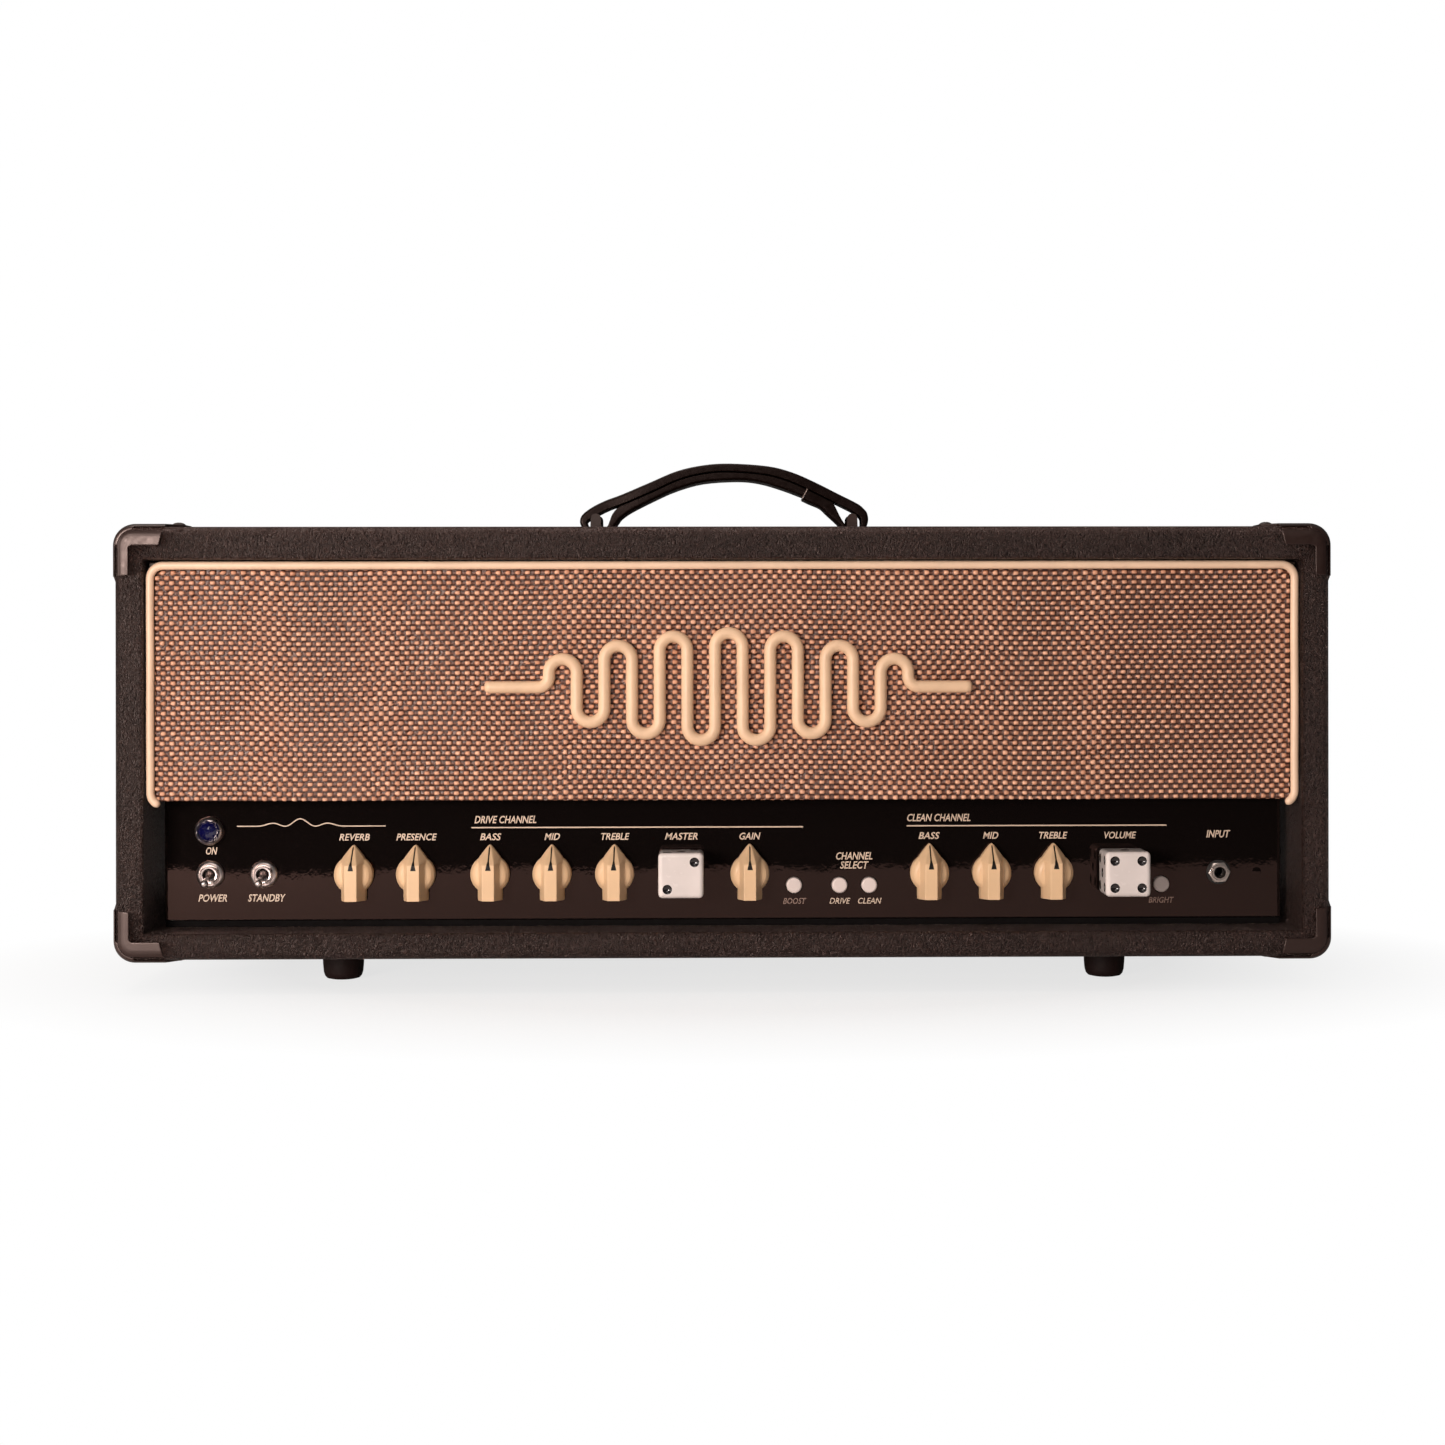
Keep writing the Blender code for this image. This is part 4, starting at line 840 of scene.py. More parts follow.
def make_cloth_mesh():
    """Plain weave as one surface: pale weft knots over a dark warp, every other one in each row."""
    per_cell = 4
    width, height = CLOTH_HIGH.x - CLOTH_LOW.x, CLOTH_HIGH.z - CLOTH_LOW.z
    columns = int(width / COLUMN_PITCH * per_cell)
    rows = int(height / ROW_PITCH * per_cell)
    u = np.linspace(0, width / COLUMN_PITCH, columns + 1)
    v = np.linspace(0, height / ROW_PITCH, rows + 1)
    u, v = np.meshgrid(u, v)
    # The threads wander a little
    pull = 0.28 * np.sin(v * 0.21 + 1.3 * np.sin(u * 0.035)) + 0.10 * np.sin(u * 0.11 + v * 0.33)
    sag = 0.16 * np.sin(u * 0.045) + 0.07 * np.sin(u * 0.17 + 2.0)
    cell_u, cell_v = u + pull, v + sag
    i, j = np.floor(cell_u), np.floor(cell_v)
    du, dv = cell_u - i - 0.5, cell_v - j - 0.5
    over = ((i + j) % 2) == 0
    rng = np.random.default_rng(7)
    tints = rng.random((400, 400))
    tint = tints[(j.astype(int) + 5) % 400, (i.astype(int) + 5) % 400]
    lift = 0.92 + 0.16 * tints[(j.astype(int) + 90) % 400, (i.astype(int) + 50) % 400]
    knot = np.clip(1 - (np.abs(du) / 0.60) ** 3.6 - (np.abs(dv) / 0.47) ** 3.2, 0, 1) ** 0.5
    low_thread = np.clip(1 - (np.abs(du) / 0.56) ** 2.4 - (np.abs(dv) / 0.31) ** 2.2, 0, 1) ** 0.5
    depth = np.where(over, knot * lift, 0.42 * low_thread)
    thread = np.where(over, np.clip(knot * 1.25, 0, 1), 0.46 * np.clip(low_thread * 1.3, 0, 1))
    relief = 0.0016
    x = CLOTH_LOW.x + u * COLUMN_PITCH
    z = CLOTH_LOW.z + v * ROW_PITCH
    y = CLOTH_HIGH.y - 0.0004 - relief * depth
    corner_softness(x, z, y)
    mesh = bpy.data.meshes.new("woven_cloth")
    points = np.stack([x, y, z], -1).reshape(-1, 3)
    stride = columns + 1
    base = (np.arange(rows)[:, None] * stride + np.arange(columns)[None, :]).reshape(-1)
    quads = np.stack([base, base + 1, base + stride + 1, base + stride], -1)
    mesh.from_pydata(points.tolist(), [], quads.tolist())
    for name, values in (("thread", thread), ("tint", tint)):
        layer = mesh.attributes.new(name, "FLOAT", "POINT")
        layer.data.foreach_set("value", values.reshape(-1).astype(np.float32))
    return mesh


def corner_softness(x, z, y):
    """Rounds the cloth's two upper corners back behind the piping."""
    radius = 0.006
    over_x = np.clip(np.abs(x) - (CLOTH_HIGH.x - radius), 0, None)
    over_z = np.clip(z - (CLOTH_HIGH.z - radius), 0, None)
    beyond = np.clip(np.hypot(over_x, over_z) - radius, 0, None)
    y += np.minimum(beyond, 0.0012)


def make_grille(mats):
    mesh = make_cloth_mesh()
    mesh.materials.append(mats["cloth"])
    cloth = piece(
        "woven_grille_cloth", mesh, mats["cloth"], replaces=["grille_cloth"],
        smooth=80
    )
    make_piping(mats)
    make_emblem(mats)
    low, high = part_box("grille_baffle")
    ply = rounded_box(low, high, 0.0008, 2)
    piece("grille_board", ply, mats["wood"], replaces=["grille_baffle"])


def make_piping(mats):
    low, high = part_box("grille_piping")
    radius, bend = 0.0023, 0.0075
    y = (low.y + high.y) / 2
    half_width, top = high.x - radius, high.z - radius
    foot = low.z + radius + bend
    half = arc((half_width - bend, top - bend), bend, 90, 0, 14)
    half += [(half_width, z) for z in np.linspace(top - bend, foot, 12)[1:-1]]
    half += arc((half_width - bend, foot), bend, 0, -72, 12)
    path = [(-x, z) for x, z in reversed(half)] + half
    sides = 20
    rings = []
    taper = [0.45, 0.75, 0.92]
    girths = [*taper, *[1.0] * (len(path) - 2 * len(taper)), *reversed(taper)]
    for i, (x, z) in enumerate(path):
        before, after = path[max(i - 1, 0)], path[min(i + 1, len(path) - 1)]
        along = math.atan2(after[1] - before[1], after[0] - before[0])
        ring = []
        for k in range(sides):
            a = 2 * math.pi * k / sides
            wobble = 0.00008 * math.sin(37 * x + 90 * z)
            side = girths[i] * radius * math.cos(a) + wobble
            out = girths[i] * radius * math.sin(a)
            ring.append((x - math.sin(along) * side, y + out, z + math.cos(along) * side))
        rings.append(ring)
    piece(
        "piping_cord", loft(rings), mats["piping"], replaces=["grille_piping"],
        smooth=60
    )


def emblem_path():
    """A wave that swells and dies away, the same to both sides, with a straight tail at each end."""
    lobes, pitch, tail, tail_bend = 13, 0.0155, 0.036, 0.006
    start_x = -lobes * pitch / 2
    lead_in = [(start_x - tail, 0), (start_x - tail + 0.0012, 0), (start_x - tail + 0.0034, 0)]
    lead_in += arc((start_x - tail_bend, tail_bend), tail_bend, -90, 0, 8)
    wave = []
    for k in range(lobes):
        rise = tail_bend + 0.0165 * math.sin(math.pi * (k + 0.5) / lobes)
        up = 1 if k % 2 == 0 else -1
        centre = (start_x + (k + 0.5) * pitch, up * rise)
        wave += arc(centre, pitch / 2, 180, 180 - 180 * up, 18)
    return lead_in + wave + [(-x, y) for x, y in reversed(lead_in)]


def make_emblem(mats):
    """A cast plastic wave with a soft, pillowed face and a thin edge line where it meets the cloth."""
    low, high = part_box("grille_emblem")
    half, relief = 0.0034, high.y - low.y
    section = [
        (half * math.cos(t), relief * (0.35 + 0.65 * math.sin(t)))
        for t in np.linspace(0.0, math.pi, 13)
    ]
    section = [(half, 0.0), *section, (-half, 0.0)]
    path = emblem_path()
    scales = [1.0] * len(path)
    for end in (0, -1):
        scales[end] = 0.55
    for end in (1, -2):
        scales[end] = 0.9
    shape = swept(path, section, scales=scales)
    centre = (low + high) / 2
    place = at(centre.x, high.y, 0.1710, FRONT)
    piece(
        "wave_emblem", shape, mats["emblem"], place=place,
        replaces=["grille_emblem"], smooth=55
    )


# ---------------------------------------------------------------- control panel

KNOB_LABELS = {"reverb": "REVERB", "presence": "PRESENCE", "drive_bass": "BASS", "drive_mid": "MID"}
KNOB_LABELS |= {"drive_treble": "TREBLE", "master": "MASTER", "gain": "GAIN", "clean_bass": "BASS"}
KNOB_LABELS |= {"clean_mid": "MID", "clean_treble": "TREBLE", "volume": "VOLUME"}
BUTTON_LABELS = {"boost": "BOOST", "drive_select": "DRIVE", "clean_select": "CLEAN", "bright": "BRIGHT"}


def knob_place(name):
    return Vector(JOINTS[f"{name}_turn"]["pos_m"])


def centre_of(node):
    low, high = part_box(node)
    return (low + high) / 2


def hole(radius, x, z):
    """A round cutter through the control panel."""
    cutter = turned([(0, -0.01), (radius, -0.01), (radius, 0.01), (0, 0.01)], 40)
    return moved(cutter, at(x, PANEL_Y, z, FRONT))


def make_panel(mats):
    cutters = []
    for name in [*KNOBS, "master", "volume"]:
        place = knob_place(name)
        cutters.append(hole(0.0039, place.x, place.z))
    for name in BUTTONS:
        centre = centre_of(f"{name}_button")
        cutters.append(hole(0.0049, centre.x, centre.z))
    for name in TOGGLES:
        centre = centre_of(f"{name}_switch_bushing")
        cutters.append(hole(0.0062, centre.x, centre.z))
    lamp, jack = centre_of("lamp_bezel"), centre_of("input_jack")
    cutters += [hole(0.0064, lamp.x, lamp.z), hole(0.0050, jack.x, jack.z)]
    plate = rounded_box(PANEL_LOW, PANEL_HIGH, 0.0005, 2)
    mesh = solve(plate, ("DIFFERENCE", joined(cutters)), mats=[mats["panel"]])
    piece(
        "glossy_front_plate", mesh, mats["panel"], replaces=["control_panel"],
        smooth=30
    )
    make_legends(mats)
    make_blank_screw(mats)
    foam = rounded_box(
        (-0.3185, PANEL_Y + 0.0002, 0.0343), (0.3185, PANEL_Y + 0.0018, 0.0377), 0.0003, 2
    )
    piece("foam_strip", foam, mats["foam"])


def make_blank_screw(mats):
    """A small black blanking stud near the panel's right end."""
    stud = turned(
        [(0, 0.0001), (0.0022, 0.00015), (0.0026, 0.00005), (0.0027, -0.0004), (0, -0.0004)], 32
    )
    piece("panel_stud", stud, mats["panel"], place=at(0.3052, PANEL_Y, 0.0640, FRONT))


def text_mesh(words, x, z, height, align="CENTER", bold=0.016, width=None):
    """Thin slanted lettering on the panel's face. z is the middle of a capital."""
    slant, extrude, spacing = 0.25, 0.02, 1.02
    curve = bpy.data.curves.new("words", "FONT")
    curve.body, curve.size, curve.shear = words, 1.0, slant
    curve.align_x, curve.extrude, curve.resolution_u = align, extrude, 3
    curve.offset, curve.space_character = bold, spacing
    obj = bpy.data.objects.new("words", curve)
    bpy.context.scene.collection.objects.link(obj)
    mesh = baked(obj)
    bm = bmesh.new()
    bm.from_mesh(mesh)
    capital, usual_width, thickness = 0.70, 0.90, 0.00004
    k = height / capital
    spread = [vertex.co.x for vertex in bm.verts]
    across = width / (max(spread) - min(spread)) if width else k * usual_width
    moved(bm, Matrix.Diagonal((across, k, thickness / extrude, 1)))
    return moved(bm, at(x, PANEL_Y - thickness, z - height / 2, FRONT))


WORD_WIDTHS = {"REVERB": 0.0174, "MASTER": 0.0187, "BASS": 0.0121, "VOLUME": 0.0183, "POWER": 0.0163}
WORD_WIDTHS |= {"STANDBY": 0.0215, "DRIVE CHANNEL": 0.0353, "CLEAN CHANNEL": 0.0363, "CHANNEL": 0.0208}
WORD_WIDTHS |= {"INPUT": 0.0138, "BOOST": 0.0132, "BRIGHT": 0.0145, "SELECT": 0.0164, "ON": 0.0064}


def make_legends(mats):
    knob_z, knob_size, large, small = 0.0852, 0.0038, 0.0041, 0.0033

    def word(text, x, z, height, **settings):
        return text_mesh(text, x, z, height, width=WORD_WIDTHS.get(text), **settings)

    words = [
        word(label, knob_place(name).x - 0.0004, knob_z, knob_size) for name,
        label in KNOB_LABELS.items()
    ]
    dim = []
    for name, label in BUTTON_LABELS.items():
        shown = dim if name in ("boost", "bright") else words
        shown.append(word(label, centre_of(f"{name}_button").x - 0.0001, 0.0480, small, bold=0.008))
    for name, label in (("power", "POWER"), ("standby", "STANDBY")):
        words.append(word(label, centre_of(f"{name}_switch_bushing").x + 0.0009, 0.0507, large))
    words.append(word("ON", -0.2928, 0.0776, large))
    words.append(word("INPUT", 0.2827, 0.0858, large))
    words.append(word("CHANNEL", 0.0738, 0.0737, large))
    words.append(word("SELECT", 0.0737, 0.0685, large))
    words.append(word("DRIVE CHANNEL", -0.1431, 0.0950, large, align="LEFT"))
    words.append(word("CLEAN CHANNEL", 0.1040, 0.0955, large, align="LEFT"))
    for left, right, z in ((-0.1446, 0.0449, 0.0904), (0.1042, 0.2534, 0.0908)):
        words.append(box_mesh((left, PANEL_Y - 0.00008, z - 0.00035), (right, PANEL_Y, z + 0.00035)))
    words += make_flourish()
    piece("printed_legends", joined(words), mats["ink"], smooth=20)
    piece("printed_legends_dim", joined(dim), mats["dim_ink"], smooth=20)


def make_flourish():
    """A plain ornament where a name plate would be: one long line that rises into three waves."""
    left, right, z = -0.2780, -0.1935, 0.0915
    wave = [(left, z)]
    for k in range(61):
        t = k / 60
        swell = math.sin(math.pi * t) ** 1.5
        wave.append(
            (left + 0.010 + t * 0.052, z + 0.0042 * swell * (1 - math.cos(6 * math.pi * t)) / 2)
        )
    wave.append((right, z))
    section = [(0.0003, 0), (-0.0003, 0), (-0.0003, 0.00008), (0.0003, 0.00008)]
    return [moved(swept(wave, section), at(0, PANEL_Y, 0, FRONT))]


def make_knob_mesh(mats):
    """A pointer knob: round skirt, wedge body with a flat ridge, and a nose that slopes down to a point."""
    skirt = [(0, 0.0010), (0.01090, 0.0010), (0.01113, 0.0015), (0.01105, 0.0052), (0.01070, 0.0060)]
    skirt += [(0.0093, 0.0080), (0.0078, 0.0088), (0, 0.0092)]
    wide, ridge, ridge_height = 0.0071, 0.0034, 0.0157
    tail, nose, back = -0.0149, 0.0064, 0.0010
    # The nose seen from the front: half width, distance above the axis, and how far its edge stands out
    ogive = [(0.0069, 0.0078, 0.0060), (0.0059, 0.0099, 0.0056), (0.0043, 0.0121, 0.0050)]
    ogive += [(0.0024, 0.0146, 0.0044), (0.0010, 0.0162, 0.0040), (0.0003, 0.0167, 0.0038)]
    points = []
    for s in (-1, 1):
        points += [(s * wide, tail, back), (s * wide, nose, back), (s * (wide - 0.0002), nose, 0.0060)]
        points += [
            (s * (wide - 0.0005), tail + 0.0001, 0.0060), (s * ridge, tail + 0.0006, ridge_height)
        ]
        points += [(s * ridge, nose - 0.0004, ridge_height)]
        for half, height, out in ogive:
            points += [(s * half, height, back), (s * half, height, out)]
    wedge = bmesh.new()
    for point in points:
        wedge.verts.new(point)
    bmesh.ops.convex_hull(wedge, input=wedge.verts)
    shaft = turned([(0, -0.0143), (0.0030, -0.0143), (0.0030, 0.004), (0, 0.004)], 24)
    body = solve(turned(skirt, 64), ("UNION", wedge))
    mesh = softened(body, mats["knob"], 0.00026, 4, 0.16)
    return mesh, mesh_of(shaft, "shaft", mats["nickel"])


def drape(outline_rows, mesh, lift):
    """Lays a strip of (x, y) rows on a mesh, seen along its +Z, a little above the surface."""
    tree = BVHTree.FromPolygons([v.co for v in mesh.vertices], [p.vertices for p in mesh.polygons])
    bm = bmesh.new()
    rows = []
    for row in outline_rows:
        made = []
        for x, y in row:
            hit = tree.ray_cast(Vector((x, y, 0.05)), Vector((0, 0, -1)))[0]
            made.append(bm.verts.new((x, y, (hit.z if hit else 0.004) + lift)))
        rows.append(made)
    for row, following in zip(rows, rows[1:]):
        for a in range(len(row) - 1):
            bm.faces.new((row[a], row[a + 1], following[a + 1], following[a]))
    bmesh.ops.solidify(bm, geom=bm.faces, thickness=0.00012)
    return bm


def make_pointer(knob_mesh):
    """The black line from the knob's tip to a small arrowhead on its ridge."""
    rows = []
    for y in np.linspace(0.0158, 0.0030, 34):
        if y > 0.0082:
            half = 0.00040
        else:
            half = 0.00040 + (0.0082 - y) / (0.0082 - 0.0030) * 0.00115
        if y > 0.0151:
            half *= 0.6
        rows.append([(half * k, y) for k in (-1, -0.33, 0.33, 1)])
    return drape(rows, knob_mesh, 0.00004)


def make_knobs(mats):
    knob_mesh, shaft_mesh = make_knob_mesh(mats)
    pointer = mesh_of(make_pointer(knob_mesh), "pointer", mats["pointer"])
    for name in KNOBS:
        place = knob_place(name)
        here = at(place.x, PANEL_Y, place.z, FRONT)
        body = f"{name}_knob"
        piece(
            f"{name}_pointer_knob", knob_mesh, mats["knob"], body, here, [body],
            smooth=60
        )
        piece(f"{name}_pointer_line", pointer, mats["pointer"], body, here)
        piece(f"{name}_shaft", shaft_mesh, mats["nickel"], body, here)
    # Faces in the order front, top, right. Opposite faces add up to seven.
    for name, faces in (("master", (2, 3, 6)), ("volume", (4, 1, 2))):
        place = knob_place(name)
        here = at(place.x, PANEL_Y, place.z, FRONT)
        body = f"{name}_knob"
        mesh = make_die_mesh(mats, faces)
        piece(f"{name}_die", mesh, mats["die"], body, here, [body], smooth=50)
        piece(f"{name}_shaft", shaft_mesh, mats["nickel"], body, here)


def pips(count):
    """Places of the spots on one face of a die, from -1 to 1."""
    corners = [(1, 1), (-1, -1), (-1, 1), (1, -1)]
    spots = corners[:2] if count in (2, 3) else corners if count > 3 else []
    if count % 2:
        spots = [*spots, (0, 0)]
    if count == 6:
        spots = [*spots, (-1, 0), (1, 0)]
    return spots


def make_die_mesh(mats, faces):
    """A white die with dished black spots. Its own +Z is the face that looks to the front."""
    side, standoff, up, spread, spot, dish = 0.0254, 0.0040, 0.0012, 0.0076, 0.0027, 0.0034
    half = side / 2
    front, top, right = faces
    turns = {
        front: Matrix.Identity(4),
        7 - front: Matrix.Rotation(math.pi, 4, "X"),
        top: Matrix.Rotation(-math.pi / 2, 4, "X"),
        7 - top: Matrix.Rotation(math.pi / 2, 4, "X"),
        right: Matrix.Rotation(math.pi / 2, 4, "Y"),
        7 - right: Matrix.Rotation(-math.pi / 2, 4, "Y"),
    }
    depth = dish - math.sqrt(dish**2 - spot**2)
    balls = []
    for count, turn in turns.items():
        if count == 7 - front:
            continue
        for px, py in pips(count):
            ball = bmesh.new()
            bmesh.ops.create_uvsphere(ball, u_segments=28, v_segments=18, radius=dish)
            centre = (px * spread, py * spread, half + dish - depth)
            balls.append(moved(ball, turn @ Matrix.Translation(centre)))
    cube = rounded_box((-half,) * 3, (half,) * 3, 0.0025, 6)
    mesh = solve(cube, ("DIFFERENCE", joined(balls)), mats=[mats["die"], mats["pip"]])
    mesh.transform(Matrix.Translation((0, up, standoff + half)))
    return mesh


def make_buttons(mats):
    radius, proud = 0.0045, 0.0033
    profile = [(0, -0.0088), (radius, -0.0088), (radius, proud - 0.0011)]
    profile += [
        (x, proud - 0.0011 + z) for x, z in [(radius - 0.0002, 0.0006), (radius - 0.0007, 0.0010)]
    ]
    profile += [(radius - 0.0012, proud - 0.00005), (0.0018, proud), (0, proud)]
    for name in BUTTONS:
        centre = centre_of(f"{name}_button")
        body = f"{name}_button"
        place = at(centre.x, PANEL_Y, centre.z, FRONT)
        piece(
            f"{name}_push_cap", turned(profile, 40), mats["button"], body, place,
            [body]
        )


def make_lamp(mats):
    centre = centre_of("lamp_bezel")
    place = at(centre.x, PANEL_Y, centre.z, FRONT)
    bezel = [(0.0060, 0.0008), (0.0062, 0.0040), (0.0064, 0.0048), (0.0068, 0.0053), (0.0073, 0.0050)]
    bezel += [(0.0078, 0.0040), (0.0080, 0.0028), (0.0080, 0.0010), (0.0079, 0.0002), (0.0060, 0.0002)]
    bezel += [(0.0060, -0.012), (0, -0.012), (0, 0.0008), (0.0060, 0.0008)]
    piece(
        "lamp_chrome_bezel", turned(bezel, 56), mats["chrome"], place=place,
        replaces=["lamp_bezel"]
    )
    sides = 10
    rows = [
        (0.0060, 0.0012, 0), (0.0060, 0.0040, 0), (0.0050, 0.0056, 0.5), (0.0034, 0.0068, 0),
        (0.0016, 0.0076, 0.5)
    ]
    rings = []
    for radius, height, shift in rows:
        angles = [2 * math.pi * (k + shift) / sides for k in range(sides)]
        rings.append([(radius * math.cos(a), radius * math.sin(a), height) for a in angles])
    jewel = bmesh.new()
    made = [[jewel.verts.new(p) for p in ring] for ring in rings]
    jewel.faces.new(made[0])
    jewel.faces.new(made[-1])
    for a in range(len(rows) - 1):
        for k in range(sides):
            n = (k + 1) % sides
            low, high = made[a], made[a + 1]
            if rows[a][2] == rows[a + 1][2]:
                jewel.faces.new((low[k], low[n], high[n], high[k]))
            elif rows[a + 1][2] > rows[a][2]:
                jewel.faces.new((low[k], low[n], high[k]))
                jewel.faces.new((low[n], high[n], high[k]))
            else:
                jewel.faces.new((low[k], high[n], high[k]))
                jewel.faces.new((low[k], low[n], high[n]))
    obj = piece(
        "lamp_blue_jewel", jewel, mats["jewel"], place=place, replaces=["lamp_jewel"]
    )
    obj.data.shade_flat()


def make_toggles(mats):
    for name in TOGGLES:
        low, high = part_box(f"{name}_switch_bushing")
        centre = (low + high) / 2
        place = at(centre.x, PANEL_Y, centre.z, FRONT)
        nut = [(0.0046, 0.0003), (0.0079, 0.0003), (0.0079, 0.0014), (0.0077, 0.0022), (0.0070, 0.0030)]
        nut += [
            (0.0062, 0.0033), (0.0056, 0.0031), (0.0053, 0.0026), (0.0046, 0.0026), (0.0046, 0.0003)
        ]
        sleeve = [
            (0.0036, -0.002), (0.0036, 0.0052), (0.0038, 0.0056), (0.0046, 0.0057), (0.0050, 0.0053)
        ]
        sleeve += [
            (0.0050, 0.0010), (0.0058, -0.0002), (0.0058, -0.0150), (0, -0.0150), (0, -0.002),
            (0.0036, -0.002)
        ]
        shapes = [turned(nut, 64), turned(sleeve, 48)]
        node = f"{name}_switch_bushing"
        piece(
            f"{name}_dress_nut", joined(shapes), mats["chrome"], place=place,
            replaces=[node], smooth=30
        )
        well = turned([(0, -0.0018), (0.0035, -0.0018), (0.0035, -0.0014), (0, -0.0014)], 32)
        piece(f"{name}_well", well, mats["black_plastic"], place=place)
        lever = [
            (0, -0.0024), (0.0012, -0.0022), (0.0021, -0.0013), (0.0025, 0.0), (0.0022, 0.0012),
            (0.0016, 0.0022)
        ]
        lever += [(0.00135, 0.0034), (0.0014, 0.0060), (0.00165, 0.0098), (0.0019, 0.0122)]
        lever += [
            (0.0021, 0.0132), (0.0021, 0.0140), (0.0019, 0.0149), (0.0014, 0.0155),
            (0.0007, 0.0158), (0, 0.0158)
        ]
        pivot = Vector(JOINTS[f"{name}_flip"]["pos_m"])
        tilt = Matrix.Rotation(math.radians(16), 4, "X")
        body = f"{name}_switch_lever"
        piece(f"{name}_bat_lever", turned(lever, 32), mats["chrome"], body,
              at(*pivot, tilt @ FRONT), [body], smooth=60)


def hexagon(across_flats, low, high, bore):
    """A nut with its corners chamfered and a round bore."""
    radius = across_flats / math.sqrt(3)
    nut = turned([(0, low), (radius, low), (radius, high), (0, high)], 6)
    chamfer = [(0, low - 0.001), (radius * 1.3, low - 0.001), (radius * 1.3, high - 0.0012)]
    chamfer += [(across_flats / 2 * 0.97, high), (0, high)]
    inner = turned([(0, low - 0.01), (bore, low - 0.01), (bore, high + 0.01), (0, high + 0.01)], 40)
    result = bmesh.new()
    result.from_mesh(solve(nut, ("INTERSECT", turned(chamfer, 48)), ("DIFFERENCE", inner)))
    return result


def make_jack(mats):
    low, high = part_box("input_jack")
    centre = (low + high) / 2
    place = at(centre.x, PANEL_Y, centre.z, FRONT)
    washer = [
        (0.0046, 0.0002), (0.0069, 0.0002), (0.0070, 0.0006), (0.0069, 0.0010), (0.0046, 0.0010),
        (0.0046, 0.0002)
    ]
    sleeve = [
        (0.00318, -0.0200), (0.00318, 0.0046), (0.0034, 0.0050), (0.0042, 0.0050), (0.0044, 0.0047)
    ]
    sleeve += [
        (0.0044, -0.0040), (0.0085, -0.0040), (0.0085, -0.0230), (0, -0.0230), (0, -0.0200),
        (0.00318, -0.0200)
    ]
    nut = moved(hexagon(0.0108, 0.0010, 0.0042, 0.00443), Matrix.Rotation(0.06, 4, "Z"))
    shapes = [turned(sleeve, 48), nut]
    # Painted shade: the washer is given a black finish to stand in for the shadow it sits in.
    piece(
        "input_socket_washer_painted_shade", turned(washer, 48), mats["black_plastic"],
        place=place
    )
    piece("input_socket_nut", joined(shapes), mats["nickel"], place=place,
          replaces=["input_jack"], smooth=30)
    well = turned(
        [(0, -0.0120), (0.00316, -0.0120), (0.00316, -0.0020),
         (0.0029, -0.0020), (0.0029, -0.0116), (0, -0.0116)],
        32
    )
    piece("input_socket_well", well, mats["black_plastic"], place=place)


# ---------------------------------------------------------------- chassis and back


def paint(node, mat):
    """Gives a carried-over CAD node its finished material."""
    obj = frame["nodes"][node]
    obj.data.materials.clear()
    obj.data.materials.append(mat)
    return obj


def make_back(mats):
    low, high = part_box("back_panel")
    vent_low, vent_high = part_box("rear_vent_grille")
    margin = 0.012
    window = box_mesh((vent_low.x + margin, low.y - 0.01, vent_low.z + margin),
                      (vent_high.x - margin, high.y + 0.01, vent_high.z - margin))
    board = solve(box_mesh(low, high), ("DIFFERENCE", window), mats=[mats["covering"]])
    piece("covered_back_board", board, mats["covering"], replaces=["back_panel"],
          smooth=35, bevel=0.0014)
    make_vent(mats, vent_low, vent_high, margin)
    inset = 0.010
    places = [
        (x, z) for z in (low.z + inset, high.z - inset)
        for x in np.linspace(low.x + 0.014, high.x - 0.014, 5)
    ]
    heads = [pan_head(0.0036, 0.0019, at(x, high.y, z, BACK), x * 40, 0.0060) for x, z in places]
    piece("back_board_screws", joined(heads), mats["nickel"], smooth=30)


def make_vent(mats, low, high, margin):
    """A pressed plate with six rows of slots, rounded at their ends."""
    rows, columns, slot_half, gutter = 6, 6, 0.0026, 0.010
    inner_low, inner_high = low + Vector((margin, 0, margin)), high - Vector((margin, 0, margin))
    row_pitch = (inner_high.z - inner_low.z) / rows
    column_pitch = (inner_high.x - inner_low.x) / columns
    slot_reach = (column_pitch - gutter) / 2
    slots = []
    for row in range(rows):
        for column in range(columns):
            x = inner_low.x + (column + 0.5) * column_pitch
            z = inner_low.z + (row + 0.5) * row_pitch
            outline = arc((slot_reach - slot_half, 0), slot_half, -90, 90, 8)
            outline += arc((slot_half - slot_reach, 0), slot_half, 90, 270, 8)
            slots.append(moved(prism(outline, -0.01, 0.01), at(x, low.y, z, FRONT)))
    outline = rounded_outline((high.x - low.x) / 2, low.z, high.z, 0.006, 6)
    plate = moved(prism(outline, -high.y, -low.y), FRONT)
    mesh = solve(plate, ("DIFFERENCE", joined(slots)), mats=[mats["black_paint"]])
    piece("slotted_vent_plate", mesh, mats["black_paint"], replaces=["rear_vent_grille"],
          smooth=30, bevel=0.0003)
    places = [
        (x, z) for z in (low.z + 0.006, high.z - 0.006)
        for x in (low.x + 0.008, 0.0, high.x - 0.008)
    ]
    heads = [pan_head(0.0030, 0.0015, at(x, high.y, z, BACK), x * 30) for x, z in places]
    piece("vent_screws", joined(heads), mats["nickel"], smooth=30)


